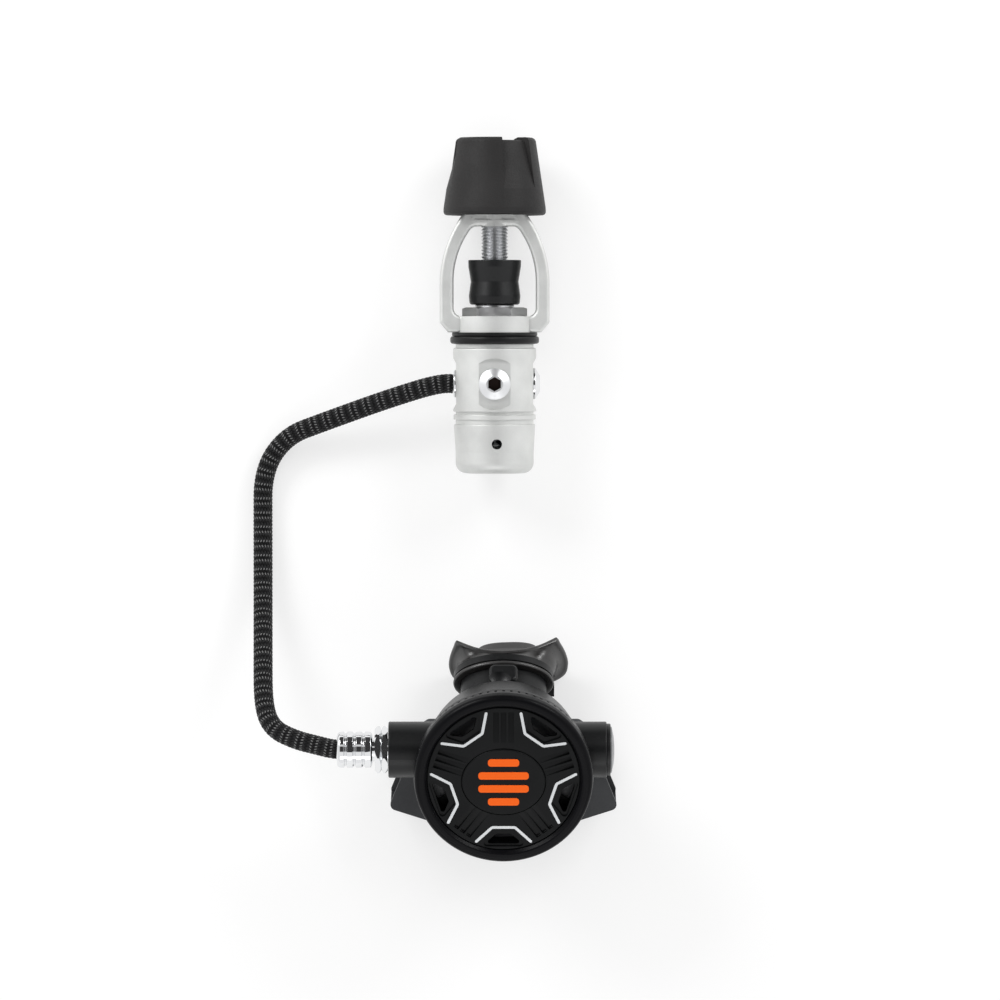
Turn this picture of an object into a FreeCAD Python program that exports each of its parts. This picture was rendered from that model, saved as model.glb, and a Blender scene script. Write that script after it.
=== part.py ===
"""Scuba regulator set, lying flat: first stage with yoke, one hose, and a second stage.

Frame: millimetres, +Z up from the table, +Y along the first stage towards its knob.
The origin is the middle of the set on the table.
"""

import FreeCAD, Part
import math
import os

import Sketcher
from FreeCAD import Placement, Rotation, Vector

DOCUMENT = FreeCAD.newDocument("regulator_set")
SHEET = DOCUMENT.addObject("Spreadsheet::Sheet", "sizes")

# Driving dimensions in millimetres and degrees: name, value, what it is.
DRIVING_SIZES = [
    ("running_gap", 0.08, "radial clearance of a sliding or turning fit"),
    ("seat_gap", 0.05, "gap between two pieces that rest on each other"),
    ("thread_gap", 0.1, "radial clearance of a screwed fit"),
    # First stage: place on the table
    ("first_stage_x", -1.7, "axis of the first stage, from the origin"),
    ("first_stage_y", 11.5, "bottom of the cap, from the origin"),
    # First stage: cap and piston
    ("cap_rim_radius", 18.4, "cap at its rim"),
    ("cap_foot_radius", 17.6, "cap just above its rounded bottom"),
    ("cap_height", 22.2, "bottom of the cap to its rim"),
    ("cap_corner", 4.8, "rounding of the bottom of the cap"),
    ("cap_floor", 4.2, "thickness of the bottom of the cap"),
    ("cap_thread_bottom", 16.0, "where the bore of the cap widens for the thread"),
    ("ambient_hole_radius", 2.3, "water hole in the cap"),
    ("ambient_hole_height", 13.4, "water hole above the bottom of the cap"),
    ("head_bore_radius", 14.2, "bore that the piston head slides in"),
    ("head_height", 5.0, "piston head"),
    ("piston_travel", 1.2, "opening of the piston from its crown"),
    ("shaft_radius", 4.0, "piston shaft"),
    ("shaft_bore_radius", 1.3, "gas passage in the piston shaft"),
    ("shaft_seat_pocket", 2.9, "depth of the seat's pocket in the shaft"),
    ("seat_radius", 2.6, "high pressure seat"),
    ("ring_section", 1.8, "section of the o-rings on the piston"),
    # First stage: body
    ("body_radius", 18.8, "barrel of the body"),
    ("body_top", 56.7, "upper edge of the barrel"),
    ("groove_depth", 1.2, "two grooves at the foot of the barrel"),
    ("groove_height", 2.1, "lower groove"),
    ("ridge_height", 2.2, "ridge between the grooves"),
    ("upper_groove_height", 1.4, "upper groove"),
    ("body_thread_radius", 15.2, "male thread that holds the cap"),
    ("skirt_bottom", 16.6, "lower end of the male thread"),
    ("spring_chamber_radius", 12.5, "chamber of the piston spring"),
    ("spring_chamber_top", 29.5, "roof of the spring chamber"),
    ("piston_wire_radius", 1.1, "wire of the piston spring"),
    ("piston_spring_radius", 8.6, "piston spring, middle of its wire"),
    ("button_wire_radius", 0.45, "wire of the button spring"),
    ("button_spring_radius", 5.2, "button spring, middle of its wire"),
    ("poppet_wire_radius", 0.45, "wire of the poppet spring"),
    ("poppet_spring_radius", 3.5, "poppet spring, middle of its wire"),
    ("low_chamber_bottom", 34.5, "floor of the low pressure chamber"),
    ("low_chamber_top", 46.0, "roof of the low pressure chamber"),
    ("low_chamber_radius", 7.5, "low pressure chamber"),
    ("crown_length", 2.7, "crown that the seat closes, below the roof of its chamber"),
    ("crown_wall", 1.0, "wall of the crown"),
    ("drilling_radius", 0.7, "drilling to the high pressure port"),
    ("drilling_length", 12.0, "drilling to the high pressure port"),
    ("drilling_angle", 31.0, "its slope"),
    ("crown_bore_radius", 1.2, "orifice of the crown"),
    ("high_chamber_bottom", 48.0, "floor of the high pressure chamber"),
    ("high_chamber_radius", 6.0, "high pressure chamber"),
    ("socket_bottom", 52.0, "floor of the socket for the yoke retainer"),
    ("socket_radius", 8.6, "socket for the yoke retainer"),
    ("neck_radius", 17.6, "bright neck over the barrel"),
    ("neck_height", 1.6, "bright neck"),
    ("spigot_radius", 16.2, "spigot under the yoke"),
    ("yoke_bottom", 63.7, "underside of the yoke"),
    ("spacer_height", 1.7, "flat black ring under the yoke"),
    ("spacer_radius", 19.3, "flat black ring under the yoke"),
    ("bumper_radius", 20.1, "round black ring below it"),
    # First stage: ports
    ("port_height", 40.5, "ring of ports above the bottom of the cap"),
    ("port_face", 17.4, "port faces from the axis"),
    ("port_face_radius", 11.6, "spot face round each port"),
    ("low_port_radius", 4.9, "thread of a low pressure port"),
    ("high_port_radius", 5.4, "thread of the high pressure port"),
    ("port_ring_depth", 1.5, "depth of the o-ring's recess in a port"),
    ("port_ring_width", 1.3, "width of the o-ring's recess in a port"),
    ("plug_head_radius", 7.1, "head of a port plug"),
    ("plug_rim", 1.0, "rim of a plug's head"),
    ("plug_height", 3.1, "height of a plug's head"),
    ("plug_key", 5.6, "hexagon socket across flats"),
    ("plug_key_depth", 4.0, "depth of the hexagon socket"),
    ("plug_tip_wall", 0.5, "flat round the hexagon socket"),
    ("plug_thread_length", 7.6, "thread of a plug below its face"),
    ("fitting_radius", 6.3, "collar of the hose at the first stage"),
    ("fitting_height", 1.2, "collar of the hose at the first stage"),
    # First stage: yoke and its retainer
    ("yoke_half_width", 24.8, "yoke, half of its width"),
    ("yoke_foot_half_width", 21.1, "yoke at its chamfered underside"),
    ("yoke_foot_height", 4.5, "height of the chamfer"),
    ("yoke_depth", 20.0, "yoke, front to back"),
    ("yoke_base_radius", 18.4, "round base of the yoke"),
    ("yoke_base_height", 7.3, "round base of the yoke"),
    ("yoke_shoulder", 101.5, "height about which the arms bend inwards"),
    ("yoke_top", 119.0, "upper face of the bridge"),
    ("yoke_top_half_width", 13.2, "bridge at its upper face"),
    ("arm_bend_radius", 54.0, "bend of an arm, outside"),
    ("arm_bend_inner_radius", 40.0, "bend of an arm, inside"),
    ("arm_width", 6.2, "arm of the yoke"),
    ("bridge_bottom", 111.6, "underside of the bridge"),
    ("bridge_half_opening", 10.2, "opening under the bridge, half of its width"),
    ("boss_radius", 10.5, "threaded boss on the bridge"),
    ("boss_top", 121.0, "top of the threaded boss"),
    ("plaque_width", 22.0, "raised frame on the bridge, at its foot"),
    ("plaque_height", 4.2, "raised frame on the bridge"),
    ("plaque_rise", 0.6, "raised frame on the bridge"),
    ("retainer_corner_radius", 14.7, "hexagon of the retainer, to its corners"),
    ("retainer_hex_height", 4.0, "hexagon of the retainer"),
    ("retainer_lip_radius", 8.9, "sealing lip of the retainer"),
    ("retainer_lip_height", 1.2, "sealing lip of the retainer"),
    ("retainer_bore_radius", 3.2, "gas passage in the retainer"),
    ("filter_radius", 5.1, "sintered filter"),
    ("filter_height", 2.1, "sintered filter"),
    ("circlip_section", 0.8, "clip that holds the filter"),
    # First stage: dust cap, screw and knob
    ("dust_cap_height", 20.2, "dust cap"),
    ("dust_cap_radius", 12.0, "dust cap at its top"),
    ("dust_cap_waist", 10.8, "dust cap at its waist"),
    ("dust_cap_waist_height", 10.4, "waist above the lower face"),
    ("dust_cap_recess_radius", 6.9, "recess for the end of the screw"),
    ("dust_cap_recess_depth", 12.1, "recess for the end of the screw"),
    ("screw_radius", 6.1, "yoke screw over its thread"),
    ("screw_pitch", 1.5, "pitch of the thread"),
    ("screw_thread_depth", 0.7, "depth of the thread"),
    ("screw_top", 141.0, "upper end of the screw"),
    ("screw_slot_width", 1.2, "slot along the screw"),
    ("screw_slot_depth", 1.6, "slot along the screw"),
    ("pad_radius", 5.4, "swivelling pad at the end of the screw"),
    ("pad_height", 3.0, "swivelling pad at the end of the screw"),
    ("pad_stem_radius", 2.0, "stem of the pad"),
    ("pad_stem_length", 5.0, "stem of the pad"),
    ("knob_rim_radius", 23.2, "knob at its rim"),
    ("knob_top_radius", 18.4, "knob at its top"),
    ("knob_bottom", 116.6, "underside of the rim"),
    ("knob_rim_height", 3.4, "rim of the knob"),
    ("knob_top", 151.6, "top of the lobes"),
    ("knob_lobe_rise", 1.3, "lobes above the middle of the top"),
    ("knob_lobe_depth", 2.6, "panels between the lobes, at the top"),
    ("knob_panel_angle", 45.0, "width of a panel between two lobes"),
    ("knob_lobe_count", 3.0, "lobes round the knob"),
    ("knob_lobe_turn", 11.0, "where the first panel starts, from the front"),
    ("knob_recess_radius", 19.6, "recess under the knob, over the bridge"),
    ("knob_recess_top", 121.9, "roof of that recess"),
    ("knob_core_corner_radius", 12.0, "hexagonal core in the knob, to its corners"),
    ("knob_core_top", 144.0, "top of the core"),
    ("cross_pin_radius", 1.5, "pin through core and screw"),
    ("cross_pin_height", 133.0, "height of the pin"),
    # Second stage: place
    ("second_stage_x", 2.3, "axis of the cover, from the origin"),
    ("second_stage_y", -125.1, "middle of the cover, from the origin"),
    ("second_stage_tilt", 19.0, "cover leans away from the mouthpiece"),
    # Second stage: front ring and cover
    ("front_ring_radius", 40.0, "front ring"),
    ("front_ring_opening", 34.2, "opening of the front ring"),
    ("front_ring_depth", 9.0, "front ring, front to back"),
    ("front_ring_lip", 3.2, "lip over the cover"),
    ("ring_notch_count", 72.0, "notches at the back edge of the front ring"),
    ("ring_notch_width", 1.2, "one notch"),
    ("ring_notch_height", 2.4, "one notch"),
    ("ring_notch_depth", 0.5, "one notch"),
    ("rim_thread_radius", 36.6, "thread of the front ring on the case"),
    ("cover_front", 1.6, "cover behind the front of the ring"),
    ("cover_thickness", 2.2, "cover"),
    ("cover_flange_thickness", 1.1, "flange of the cover under the lip"),
    ("cover_recess", 1.0, "sunken fields of the cover"),
    ("window_count", 5.0, "windows round the cover"),
    ("window_inner", 26.6, "inner edge of a window from the middle"),
    ("window_inner_half", 3.2, "inner edge of a window, half of its length"),
    ("window_outer", 31.4, "outer edge of a window from the middle"),
    ("window_outer_half", 8.7, "outer edge of a window, half of its length"),
    ("trim_inner", 23.1, "inner run of a trim strip from the middle"),
    ("trim_inner_half", 5.1, "inner run of a trim strip, half of its length"),
    ("trim_outer", 29.8, "ends of a trim strip from the middle"),
    ("trim_outer_half", 12.1, "ends of a trim strip, half of their distance"),
    ("trim_width", 1.25, "trim strip"),
    ("trim_bend", 1.6, "rounding of its two bends"),
    ("trim_rise", 0.35, "trim strip over the cover"),
    ("rib_groove_width", 2.4, "grooves between the ribs"),
    ("rib_pitch", 3.35, "ribs, from one to the next"),
    ("rib_inner", 17.2, "start of the grooves from the middle"),
    ("rib_outer", 31.6, "end of the grooves from the middle"),
    ("rib_depth", 1.5, "grooves at their outer end"),
    ("button_half_width", 18.6, "purge button, half of its width"),
    ("button_half_height", 15.6, "purge button, half of its height"),
    ("button_drop", 1.4, "button below the middle of the cover"),
    ("button_gap", 0.35, "gap round the button"),
    ("button_front", 1.1, "button behind the front of the ring"),
    ("button_flange", 1.2, "flange that keeps the button in"),
    ("button_flange_height", 0.8, "flange that keeps the button in"),
    ("button_stem_radius", 3.4, "stem of the button"),
    ("bar_length", 22.4, "grip bars on the button"),
    ("bar_height", 4.9, "grip bars on the button"),
    ("bar_pitch", 9.3, "distance between the outer bars and the middle"),
    ("bar_rise", 0.3, "grip bars over the button"),
    # Second stage: diaphragm
    ("clamp_inner_radius", 33.4, "clamp ring of the diaphragm"),
    ("clamp_bridge_front", 11.0, "bridge of the clamp ring from the front"),
    ("clamp_bridge_height", 1.0, "bridge of the clamp ring"),
    ("clamp_bridge_width", 6.0, "spokes of the bridge"),
    ("clamp_hub_radius", 7.6, "hub of the bridge"),
    ("diaphragm_front", 12.7, "diaphragm from the front"),
    ("diaphragm_thickness", 0.8, "diaphragm"),
    ("plate_radius", 13.0, "plate under the diaphragm"),
    ("plate_thickness", 0.8, "plate under the diaphragm"),
    # Second stage: case
    ("case_radius", 38.6, "drum of the case"),
    ("case_flange_radius", 39.3, "flange behind the front ring"),
    ("case_flange_height", 2.0, "flange behind the front ring"),
    ("case_wall", 2.4, "wall of the case"),
    ("case_depth", 38.4, "back of the case from the front"),
    ("case_back_radius", 33.5, "drum of the case at its back"),
    ("case_corner", 6.0, "rounding at the back of the case"),
    ("inlet_y", 4.55, "inlet above the middle of the cover"),
    ("inlet_depth", 25.5, "inlet from the front"),
    ("boss_outer_radius", 12.6, "side bosses of the case"),
    ("left_boss_end", 51.5, "left boss from the middle"),
    ("right_boss_end", 46.1, "right boss from the middle"),
    ("mouth_angle", 30.0, "mouthpiece tube from the back of the case"),
    ("mouth_origin_depth", 18.0, "where its axis meets the case's axis"),
    ("tube_half_width", 19.4, "mouthpiece tube, half of its width"),
    ("tube_half_height", 11.8, "mouthpiece tube, half of its height"),
    ("tube_wall", 2.2, "wall of the mouthpiece tube"),
    ("tube_start", 12.0, "inner end of the tube along its axis"),
    ("tube_end", 52.0, "outer end of the tube along its axis"),
    ("fairing_start", 16.0, "widened foot of the tube"),
    ("fairing_end", 36.0, "widened foot of the tube"),
    ("fairing_widen", 3.2, "widened foot of the tube"),
    ("exhaust_y", 18.4, "exhaust port below the middle of the case"),
    ("exhaust_hole_radius", 2.8, "holes of the exhaust port"),
    ("exhaust_ring_radius", 7.2, "circle of those holes"),
    ("exhaust_hole_count", 6.0, "holes of the exhaust port"),
    ("exhaust_stem_radius", 1.4, "stem of the exhaust valve"),
    ("exhaust_valve_radius", 10.8, "exhaust valve"),
    ("exhaust_valve_thickness", 0.9, "exhaust valve"),
    # Second stage: valve
    ("barrel_radius", 6.4, "inlet barrel"),
    ("barrel_bore", 5.0, "bore of the inlet barrel"),
    ("barrel_end", 6.0, "right end of the barrel from the middle"),
    ("barrel_wall", 1.5, "end wall of the barrel"),
    ("barrel_flange_radius", 9.0, "flange of the barrel"),
    ("barrel_flange_width", 2.0, "flange of the barrel"),
    ("inlet_thread_radius", 7.1, "male thread for the hose nut"),
    ("inlet_thread_length", 3.7, "male thread for the hose nut"),
    ("orifice_length", 28.0, "adjustable orifice"),
    ("orifice_bore", 1.8, "adjustable orifice"),
    ("orifice_face", 20.05, "sealing edge from the middle"),
    ("poppet_length", 8.0, "head of the poppet"),
    ("poppet_stem_radius", 2.2, "stem of the poppet"),
    ("poppet_stem_end", 12.6, "end of the stem from the middle"),
    ("poppet_seat_radius", 3.6, "rubber seat in the poppet"),
    ("poppet_seat_thickness", 1.6, "rubber seat in the poppet"),
    ("lever_thickness", 1.0, "demand lever"),
    ("lever_width", 9.0, "demand lever"),
    ("lever_reach", 18.0, "demand lever, pivot to tip"),
    ("lever_pivot_drop", 0.5, "pivot over the barrel"),
    ("lever_foot_length", 7.4, "feet of the lever below the pivot"),
    ("lever_slot_width", 5.2, "gap between the feet"),
    ("nut_flats", 7.0, "lever nut across flats"),
    ("nut_height", 3.0, "lever nut"),
    ("end_plug_radius", 10.3, "bore of the right boss"),
    ("end_plug_length", 14.0, "plug in the right boss"),
    ("end_flange_radius", 11.7, "flange of the end plug"),
    ("end_flange_height", 1.8, "flange of the end plug"),
    ("dome_radius", 10.4, "domed disc on the end plug"),
    ("dome_height", 1.7, "domed disc on the end plug"),
    # Second stage: exhaust tee
    ("tee_front", 41.0, "wings of the tee from the front of the ring"),
    ("tee_back", 62.0, "back of the tee from the front of the ring"),
    ("tee_half_width", 52.0, "tee, half of its width"),
    ("tee_top_half_width", 39.4, "tee at the upper end of its mouths"),
    ("tee_mouth_top", 2.2, "upper end of its mouths"),
    ("tee_shoulder_half", 34.2, "highest point of a wing from the middle"),
    ("tee_notch_half", 23.6, "notch round the mouthpiece tube, half"),
    ("tee_top", 5.9, "upper edge of the wings"),
    ("tee_notch_y", 4.6, "foot of the notch, below the middle"),
    ("tee_low", 30.0, "lower corners of the wings"),
    ("tee_bottom", 36.5, "lower edge of the tee"),
    ("tee_bottom_half", 33.0, "lower edge of the tee, half of its length"),
    ("tee_wall", 2.2, "wall of the tee"),
    ("tee_rounding", 2.0, "edges of the tee's back"),
    ("tee_low_corner", 2.8, "lower corners of the wings, rounding"),
    ("tee_top_corner", 2.6, "upper corners of the wings, rounding"),
    ("tee_collar_radius", 12.8, "collar of the tee on the case"),
    # Second stage: mouthpiece, in lengths along its tube
    ("sleeve_start", 46.5, "sleeve of the mouthpiece"),
    ("sleeve_wall", 1.9, "sleeve of the mouthpiece"),
    ("sleeve_lip", 1.0, "lip at the end of the sleeve"),
    ("sleeve_lip_length", 2.0, "lip at the end of the sleeve"),
    ("flange_centre", 57.2, "back of the lip flange at its middle"),
    ("flange_thickness", 2.4, "lip flange"),
    ("flange_bend_radius", 75.0, "bend of the lip flange"),
    ("flange_half_width", 27.2, "lip flange, half of its width"),
    ("flange_upper", 12.6, "ears of the lip flange above the axis"),
    ("flange_ear_half", 22.6, "ears of the lip flange from the middle"),
    ("flange_widest", 7.0, "widest place of the lip flange below the axis"),
    ("flange_dip", 9.6, "dip between the ears"),
    ("flange_lower", 16.5, "lip flange below the axis"),
    ("neck_half_width", 18.0, "sleeve where the lip flange begins, half of its width"),
    ("neck_half_height", 9.4, "sleeve where the lip flange begins, half of its height"),
    ("spout_end", 66.2, "end of the air spout"),
    ("spout_half_width", 14.0, "air spout, half of its width"),
    ("spout_half_height", 7.0, "air spout, half of its height"),
    ("spout_wall", 2.0, "air spout"),
    ("bite_end", 68.5, "end of the bite tabs"),
    ("bite_inner", 10.6, "bite tabs from the middle"),
    ("bite_outer", 21.5, "bite tabs from the middle"),
    ("bite_thickness", 3.0, "bite tabs"),
    ("bite_ridge", 4.6, "ridge at the end of a bite tab"),
    ("bite_rounding", 1.0, "edges of that ridge"),
    ("strap_start", 49.0, "tie round the sleeve"),
    ("strap_width", 3.4, "tie round the sleeve"),
    ("strap_thickness", 1.1, "tie round the sleeve"),
    ("strap_head", 5.0, "head of the tie"),
    # Second stage: airflow lever on the tube
    ("flow_pivot", 41.5, "pivot of the airflow lever along the tube"),
    ("flow_stem_radius", 2.2, "stem of the airflow lever"),
    ("flow_head_width", 13.0, "head of the airflow lever"),
    ("flow_head_front", 3.7, "head of the lever in front of its pivot"),
    ("flow_head_back", 6.1, "head of the lever behind its pivot"),
    ("flow_head_height", 4.6, "head of the airflow lever"),
    ("flow_head_corner", 3.0, "corners of the head"),
    ("flow_vane_length", 10.0, "vane inside the tube"),
    ("flow_vane_height", 11.0, "vane inside the tube"),
    ("flow_vane_thickness", 1.2, "vane inside the tube"),
    # Hose
    ("hose_radius", 4.3, "hose over its braid"),
    ("nut_inner_end", 51.8, "right end of the swivel nut from the middle"),
    ("swivel_nut_length", 5.8, "swivel nut"),
    ("swivel_nut_flats", 18.6, "swivel nut across flats"),
    ("swivel_lip", 1.2, "lip of the nut behind the stem's collar"),
    ("stem_neck_radius", 5.3, "neck of the hose stem"),
    ("stem_collar_radius", 6.6, "collar of the hose stem"),
    ("stem_spigot_length", 2.6, "spigot of the stem in the barrel"),
    ("ferrule_start", 58.7, "crimped ferrule from the middle"),
    ("ferrule_length", 16.0, "crimped ferrule"),
    ("ferrule_radius", 8.15, "crimped ferrule"),
    ("ferrule_band_count", 4.0, "bands of the ferrule"),
    ("ferrule_groove", 0.8, "grooves between the bands"),
]


class Size:
    """A number of the model, together with the sheet expression that gives it."""

    def __init__(self, value, text):
        self.value = value
        self.text = text

    def __add__(self, other):
        return combine(self, "+", other)

    def __radd__(self, other):
        return combine(other, "+", self)

    def __sub__(self, other):
        return combine(self, "-", other)

    def __rsub__(self, other):
        return combine(other, "-", self)

    def __mul__(self, other):
        return combine(self, "*", other)

    def __rmul__(self, other):
        return combine(other, "*", self)

    def __truediv__(self, other):
        return combine(self, "/", other)

    def __rtruediv__(self, other):
        return combine(other, "/", self)

    def __neg__(self):
        return combine(0, "-", self)


def as_size(number):
    if isinstance(number, Size):
        return number
    return Size(float(number), f"({float(number):.9f})")


def combine(left, sign, right):
    left = as_size(left)
    right = as_size(right)
    if sign == "+":
        value = left.value + right.value
    elif sign == "-":
        value = left.value - right.value
    elif sign == "*":
        value = left.value * right.value
    else:
        value = left.value / right.value
    return Size(value, f"({left.text} {sign} {right.text})")


def sine(angle):
    angle = as_size(angle)
    return Size(math.sin(math.radians(angle.value)), f"sin({angle.text})")


def cosine(angle):
    angle = as_size(angle)
    return Size(math.cos(math.radians(angle.value)), f"cos({angle.text})")


def arc_tangent(ratio):
    ratio = as_size(ratio)
    return Size(math.degrees(math.atan(ratio.value)), f"(atan({ratio.text}) / 1 deg)")


class Sizes:
    """The sheet's cells by name."""


def fill_sheet():
    """Writes each driving dimension in a cell of its own and gives the cells by name."""
    sizes = Sizes()
    for row, (alias, value, meaning) in enumerate(DRIVING_SIZES, start=1):
        SHEET.set(f"A{row}", meaning)
        SHEET.set(f"B{row}", str(value))
        SHEET.setAlias(f"B{row}", alias)
        setattr(sizes, alias, Size(float(value), f"sizes.{alias}"))
    DOCUMENT.recompute()
    return sizes


S = fill_sheet()

# Every finished piece by the name of its file
PIECES = {}


# Places

def plug_tip_radius():
    """Flat end of a port plug round its hexagon socket."""
    return S.plug_key / (2 * cosine(30)) + S.plug_tip_wall


def first_stage_tilt():
    """The stage lies on its back plug and on the rim of the knob."""
    rise = S.knob_rim_radius - (S.port_face + S.plug_height)
    run = S.knob_bottom + S.knob_rim_height / 2 - S.port_height + plug_tip_radius()
    return arc_tangent(rise / run)


def first_stage_height():
    """Height of the axis at the bottom of the cap."""
    tilt = first_stage_tilt()
    reach = S.port_face + S.plug_height
    return reach * cosine(tilt) - (S.port_height - plug_tip_radius()) * sine(tilt)


def second_stage_height():
    """Height of the middle of the ring's front, with the tee's rounded edge on the table."""
    tilt = S.second_stage_tilt
    edge_y = S.tee_bottom - S.tee_rounding
    edge_z = S.tee_back - S.tee_rounding
    return edge_y * sine(tilt) + edge_z * cosine(tilt) + S.tee_rounding


class Stage:
    """A frame turned about X by an angle, in which pieces are drawn upright."""

    def __init__(self, x, y, z, angle):
        self.origin = (as_size(x), as_size(y), as_size(z))
        self.angle = as_size(angle)

    def point(self, x, y, z):
        """The place in the set of a point of this frame."""
        x = as_size(x)
        y = as_size(y)
        z = as_size(z)
        c = cosine(self.angle)
        s = sine(self.angle)
        return (
            self.origin[0] + x,
            self.origin[1] + y * c - z * s,
            self.origin[2] + y * s + z * c,
        )

    def inner(self, x, y, z, turn):
        """A frame at a point of this one, turned further about X."""
        return Stage(*self.point(x, y, z), self.angle + turn)


FIRST = Stage(S.first_stage_x, S.first_stage_y, first_stage_height(), first_stage_tilt() - 90)
SECOND = Stage(S.second_stage_x, S.second_stage_y, second_stage_height(), S.second_stage_tilt)
INLET = SECOND.inner(0, S.inlet_y, -S.inlet_depth, 0)
# Along the mouthpiece tube: Z runs outwards, Y away from the viewer
MOUTH = SECOND.inner(0, 0, -S.mouth_origin_depth, S.mouth_angle - 180)
SET = Stage(0, 0, 0, 0)


def place(piece, stage, label):
    """Gives a finished piece its name and its place in the set."""
    piece.Label = label
    for axis, size in zip("xyz", stage.origin):
        piece.setExpression(f"Placement.Base.{axis}", size.text)
    piece.Placement = Placement(Vector(), Rotation(Vector(1, 0, 0), stage.angle.value))
    piece.setExpression("Placement.Rotation.Angle", stage.angle.text)
    PIECES[label] = piece
    return piece


# Sketches and solids

def origin_plane(body, role):
    for feature in body.Origin.OriginFeatures:
        if feature.Role == role:
            return feature
    raise ValueError(role)


def new_body(name):
    return DOCUMENT.addObject("PartDesign::Body", name)


def new_sketch(body, role, offset=0):
    """A sketch on one of the body's own planes, moved along the plane's normal."""
    sketch = body.newObject("Sketcher::SketchObject", "outline")
    sketch.AttachmentSupport = [(origin_plane(body, role), "")]
    sketch.MapMode = "FlatFace"
    sketch.setExpression("AttachmentOffset.Base.z", as_size(offset).text)
    return sketch


def hold_point(sketch, geometry, end, x, y):
    """Ties one point of a sketch to the sheet."""
    for kind, size in (("DistanceX", as_size(x)), ("DistanceY", as_size(y))):
        number = sketch.addConstraint(
            Sketcher.Constraint(kind, -1, 1, geometry, end, size.value)
        )
        sketch.setExpression(f"Constraints[{number}]", size.text)


def corner_arc(before, corner, after, radius):
    """First end, middle, last end and centre of the arc that rounds a corner."""
    to_before = (before - corner).normalize()
    to_after = (after - corner).normalize()
    half = to_before.getAngle(to_after) / 2
    along = radius / math.tan(half)
    middle_way = (to_before + to_after).normalize()
    centre = corner + middle_way * (radius / math.sin(half))
    first = corner + to_before * along
    last = corner + to_after * along
    return first, centre - middle_way * radius, last, centre


def add_arc(sketch, first, middle, last, centre):
    """Adds an arc that runs anticlockwise; tells whether it starts at its first end."""
    turns_left = (first - centre).cross(last - centre).z > 0
    start, end = (first, last) if turns_left else (last, first)
    angles = [math.atan2(point.y - centre.y, point.x - centre.x) for point in (start, end)]
    if angles[1] < angles[0]:
        angles[1] += 2 * math.pi
    whole = Part.Circle(centre, Vector(0, 0, 1), (middle - centre).Length)
    return sketch.addGeometry(Part.ArcOfCircle(whole, *angles), False), turns_left


def draw_outline(sketch, corners):
    """Closed outline through corners (x, y) or (x, y, rounding radius)."""
    points = [Vector(as_size(c[0]).value, as_size(c[1]).value, 0) for c in corners]
    count = len(points)
    arcs = {}
    for i, corner in enumerate(corners):
        if len(corner) > 2:
            before = points[i - 1]
            after = points[(i + 1) % count]
            arcs[i] = corner_arc(before, points[i], after, as_size(corner[2]).value)
    for i in range(count):
        following = (i + 1) % count
        start = arcs[i][2] if i in arcs else points[i]
        end = arcs[following][0] if following in arcs else points[following]
        sketch.addGeometry(Part.LineSegment(start, end), False)
    for i, corner in enumerate(corners):
        previous = (i - 1) % count
        if i not in arcs:
            sketch.addConstraint(Sketcher.Constraint("Coincident", previous, 2, i, 1))
            hold_point(sketch, i, 1, corner[0], corner[1])
            continue
        arc, turns_left = add_arc(sketch, *arcs[i])
        first_end, last_end = (1, 2) if turns_left else (2, 1)
        sketch.addConstraint(Sketcher.Constraint("Tangent", previous, 2, arc, first_end))
        sketch.addConstraint(Sketcher.Constraint("Tangent", arc, last_end, i, 1))
        radius = as_size(corner[2])
        number = sketch.addConstraint(Sketcher.Constraint("Radius", arc, radius.value))
        sketch.setExpression(f"Constraints[{number}]", radius.text)
        mark = sketch.addGeometry(Part.Point(points[i]), True)
        hold_point(sketch, mark, 1, corner[0], corner[1])
        sketch.addConstraint(Sketcher.Constraint("PointOnObject", mark, 1, previous))
        sketch.addConstraint(Sketcher.Constraint("PointOnObject", mark, 1, i))


def turned(name, corners, role="XZ_Plane", axis="V_Axis", body=None):
    """A turned piece: a closed outline revolved about an axis of its sketch."""
    body = body or new_body(name)
    sketch = new_sketch(body, role)
    draw_outline(sketch, corners)
    feature = body.newObject("PartDesign::Revolution", "turned")
    feature.Profile = sketch
    feature.ReferenceAxis = (sketch, [axis])
    feature.Angle = 360
    return body


def padded_outline(name, corners, role, offset, length, body=None, reverse=False):
    """A flat outline given a thickness along its plane's normal."""
    body = body or new_body(name)
    sketch = new_sketch(body, role, offset)
    draw_outline(sketch, corners)
    feature = body.newObject("PartDesign::Pad", "pad")
    feature.Profile = sketch
    feature.setExpression("Length", as_size(length).text)
    feature.Reversed = reverse
    return body


def set_place(solid, x, y, z, axis=None, angle=0):
    """Places a tool of a boolean by expressions, turned by a fixed angle."""
    if axis is not None:
        solid.Placement = Placement(Vector(), Rotation(Vector(*axis), angle))
    for letter, number in zip("xyz", (x, y, z)):
        solid.setExpression(f"Placement.Base.{letter}", as_size(number).text)
    return solid


ALONG = {
    "+Z": (None, 0),
    "-Z": ((1, 0, 0), 180),
    "+X": ((0, 1, 0), 90),
    "-X": ((0, 1, 0), -90),
    "+Y": ((1, 0, 0), -90),
    "-Y": ((1, 0, 0), 90),
}


def rod(radius, length, x=0, y=0, z=0, along="+Z"):
    """A round bar from a point, along an axis."""
    solid = DOCUMENT.addObject("Part::Cylinder", "rod")
    solid.setExpression("Radius", as_size(radius).text)
    solid.setExpression("Height", as_size(length).text)
    return set_place(solid, x, y, z, *ALONG[along])


def block(size_x, size_y, size_z, x=0, y=0, z=0, axis=None, angle=0):
    """A box from its lowest corner."""
    solid = DOCUMENT.addObject("Part::Box", "block")
    solid.setExpression("Length", as_size(size_x).text)
    solid.setExpression("Width", as_size(size_y).text)
    solid.setExpression("Height", as_size(size_z).text)
    return set_place(solid, x, y, z, axis, angle)


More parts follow.
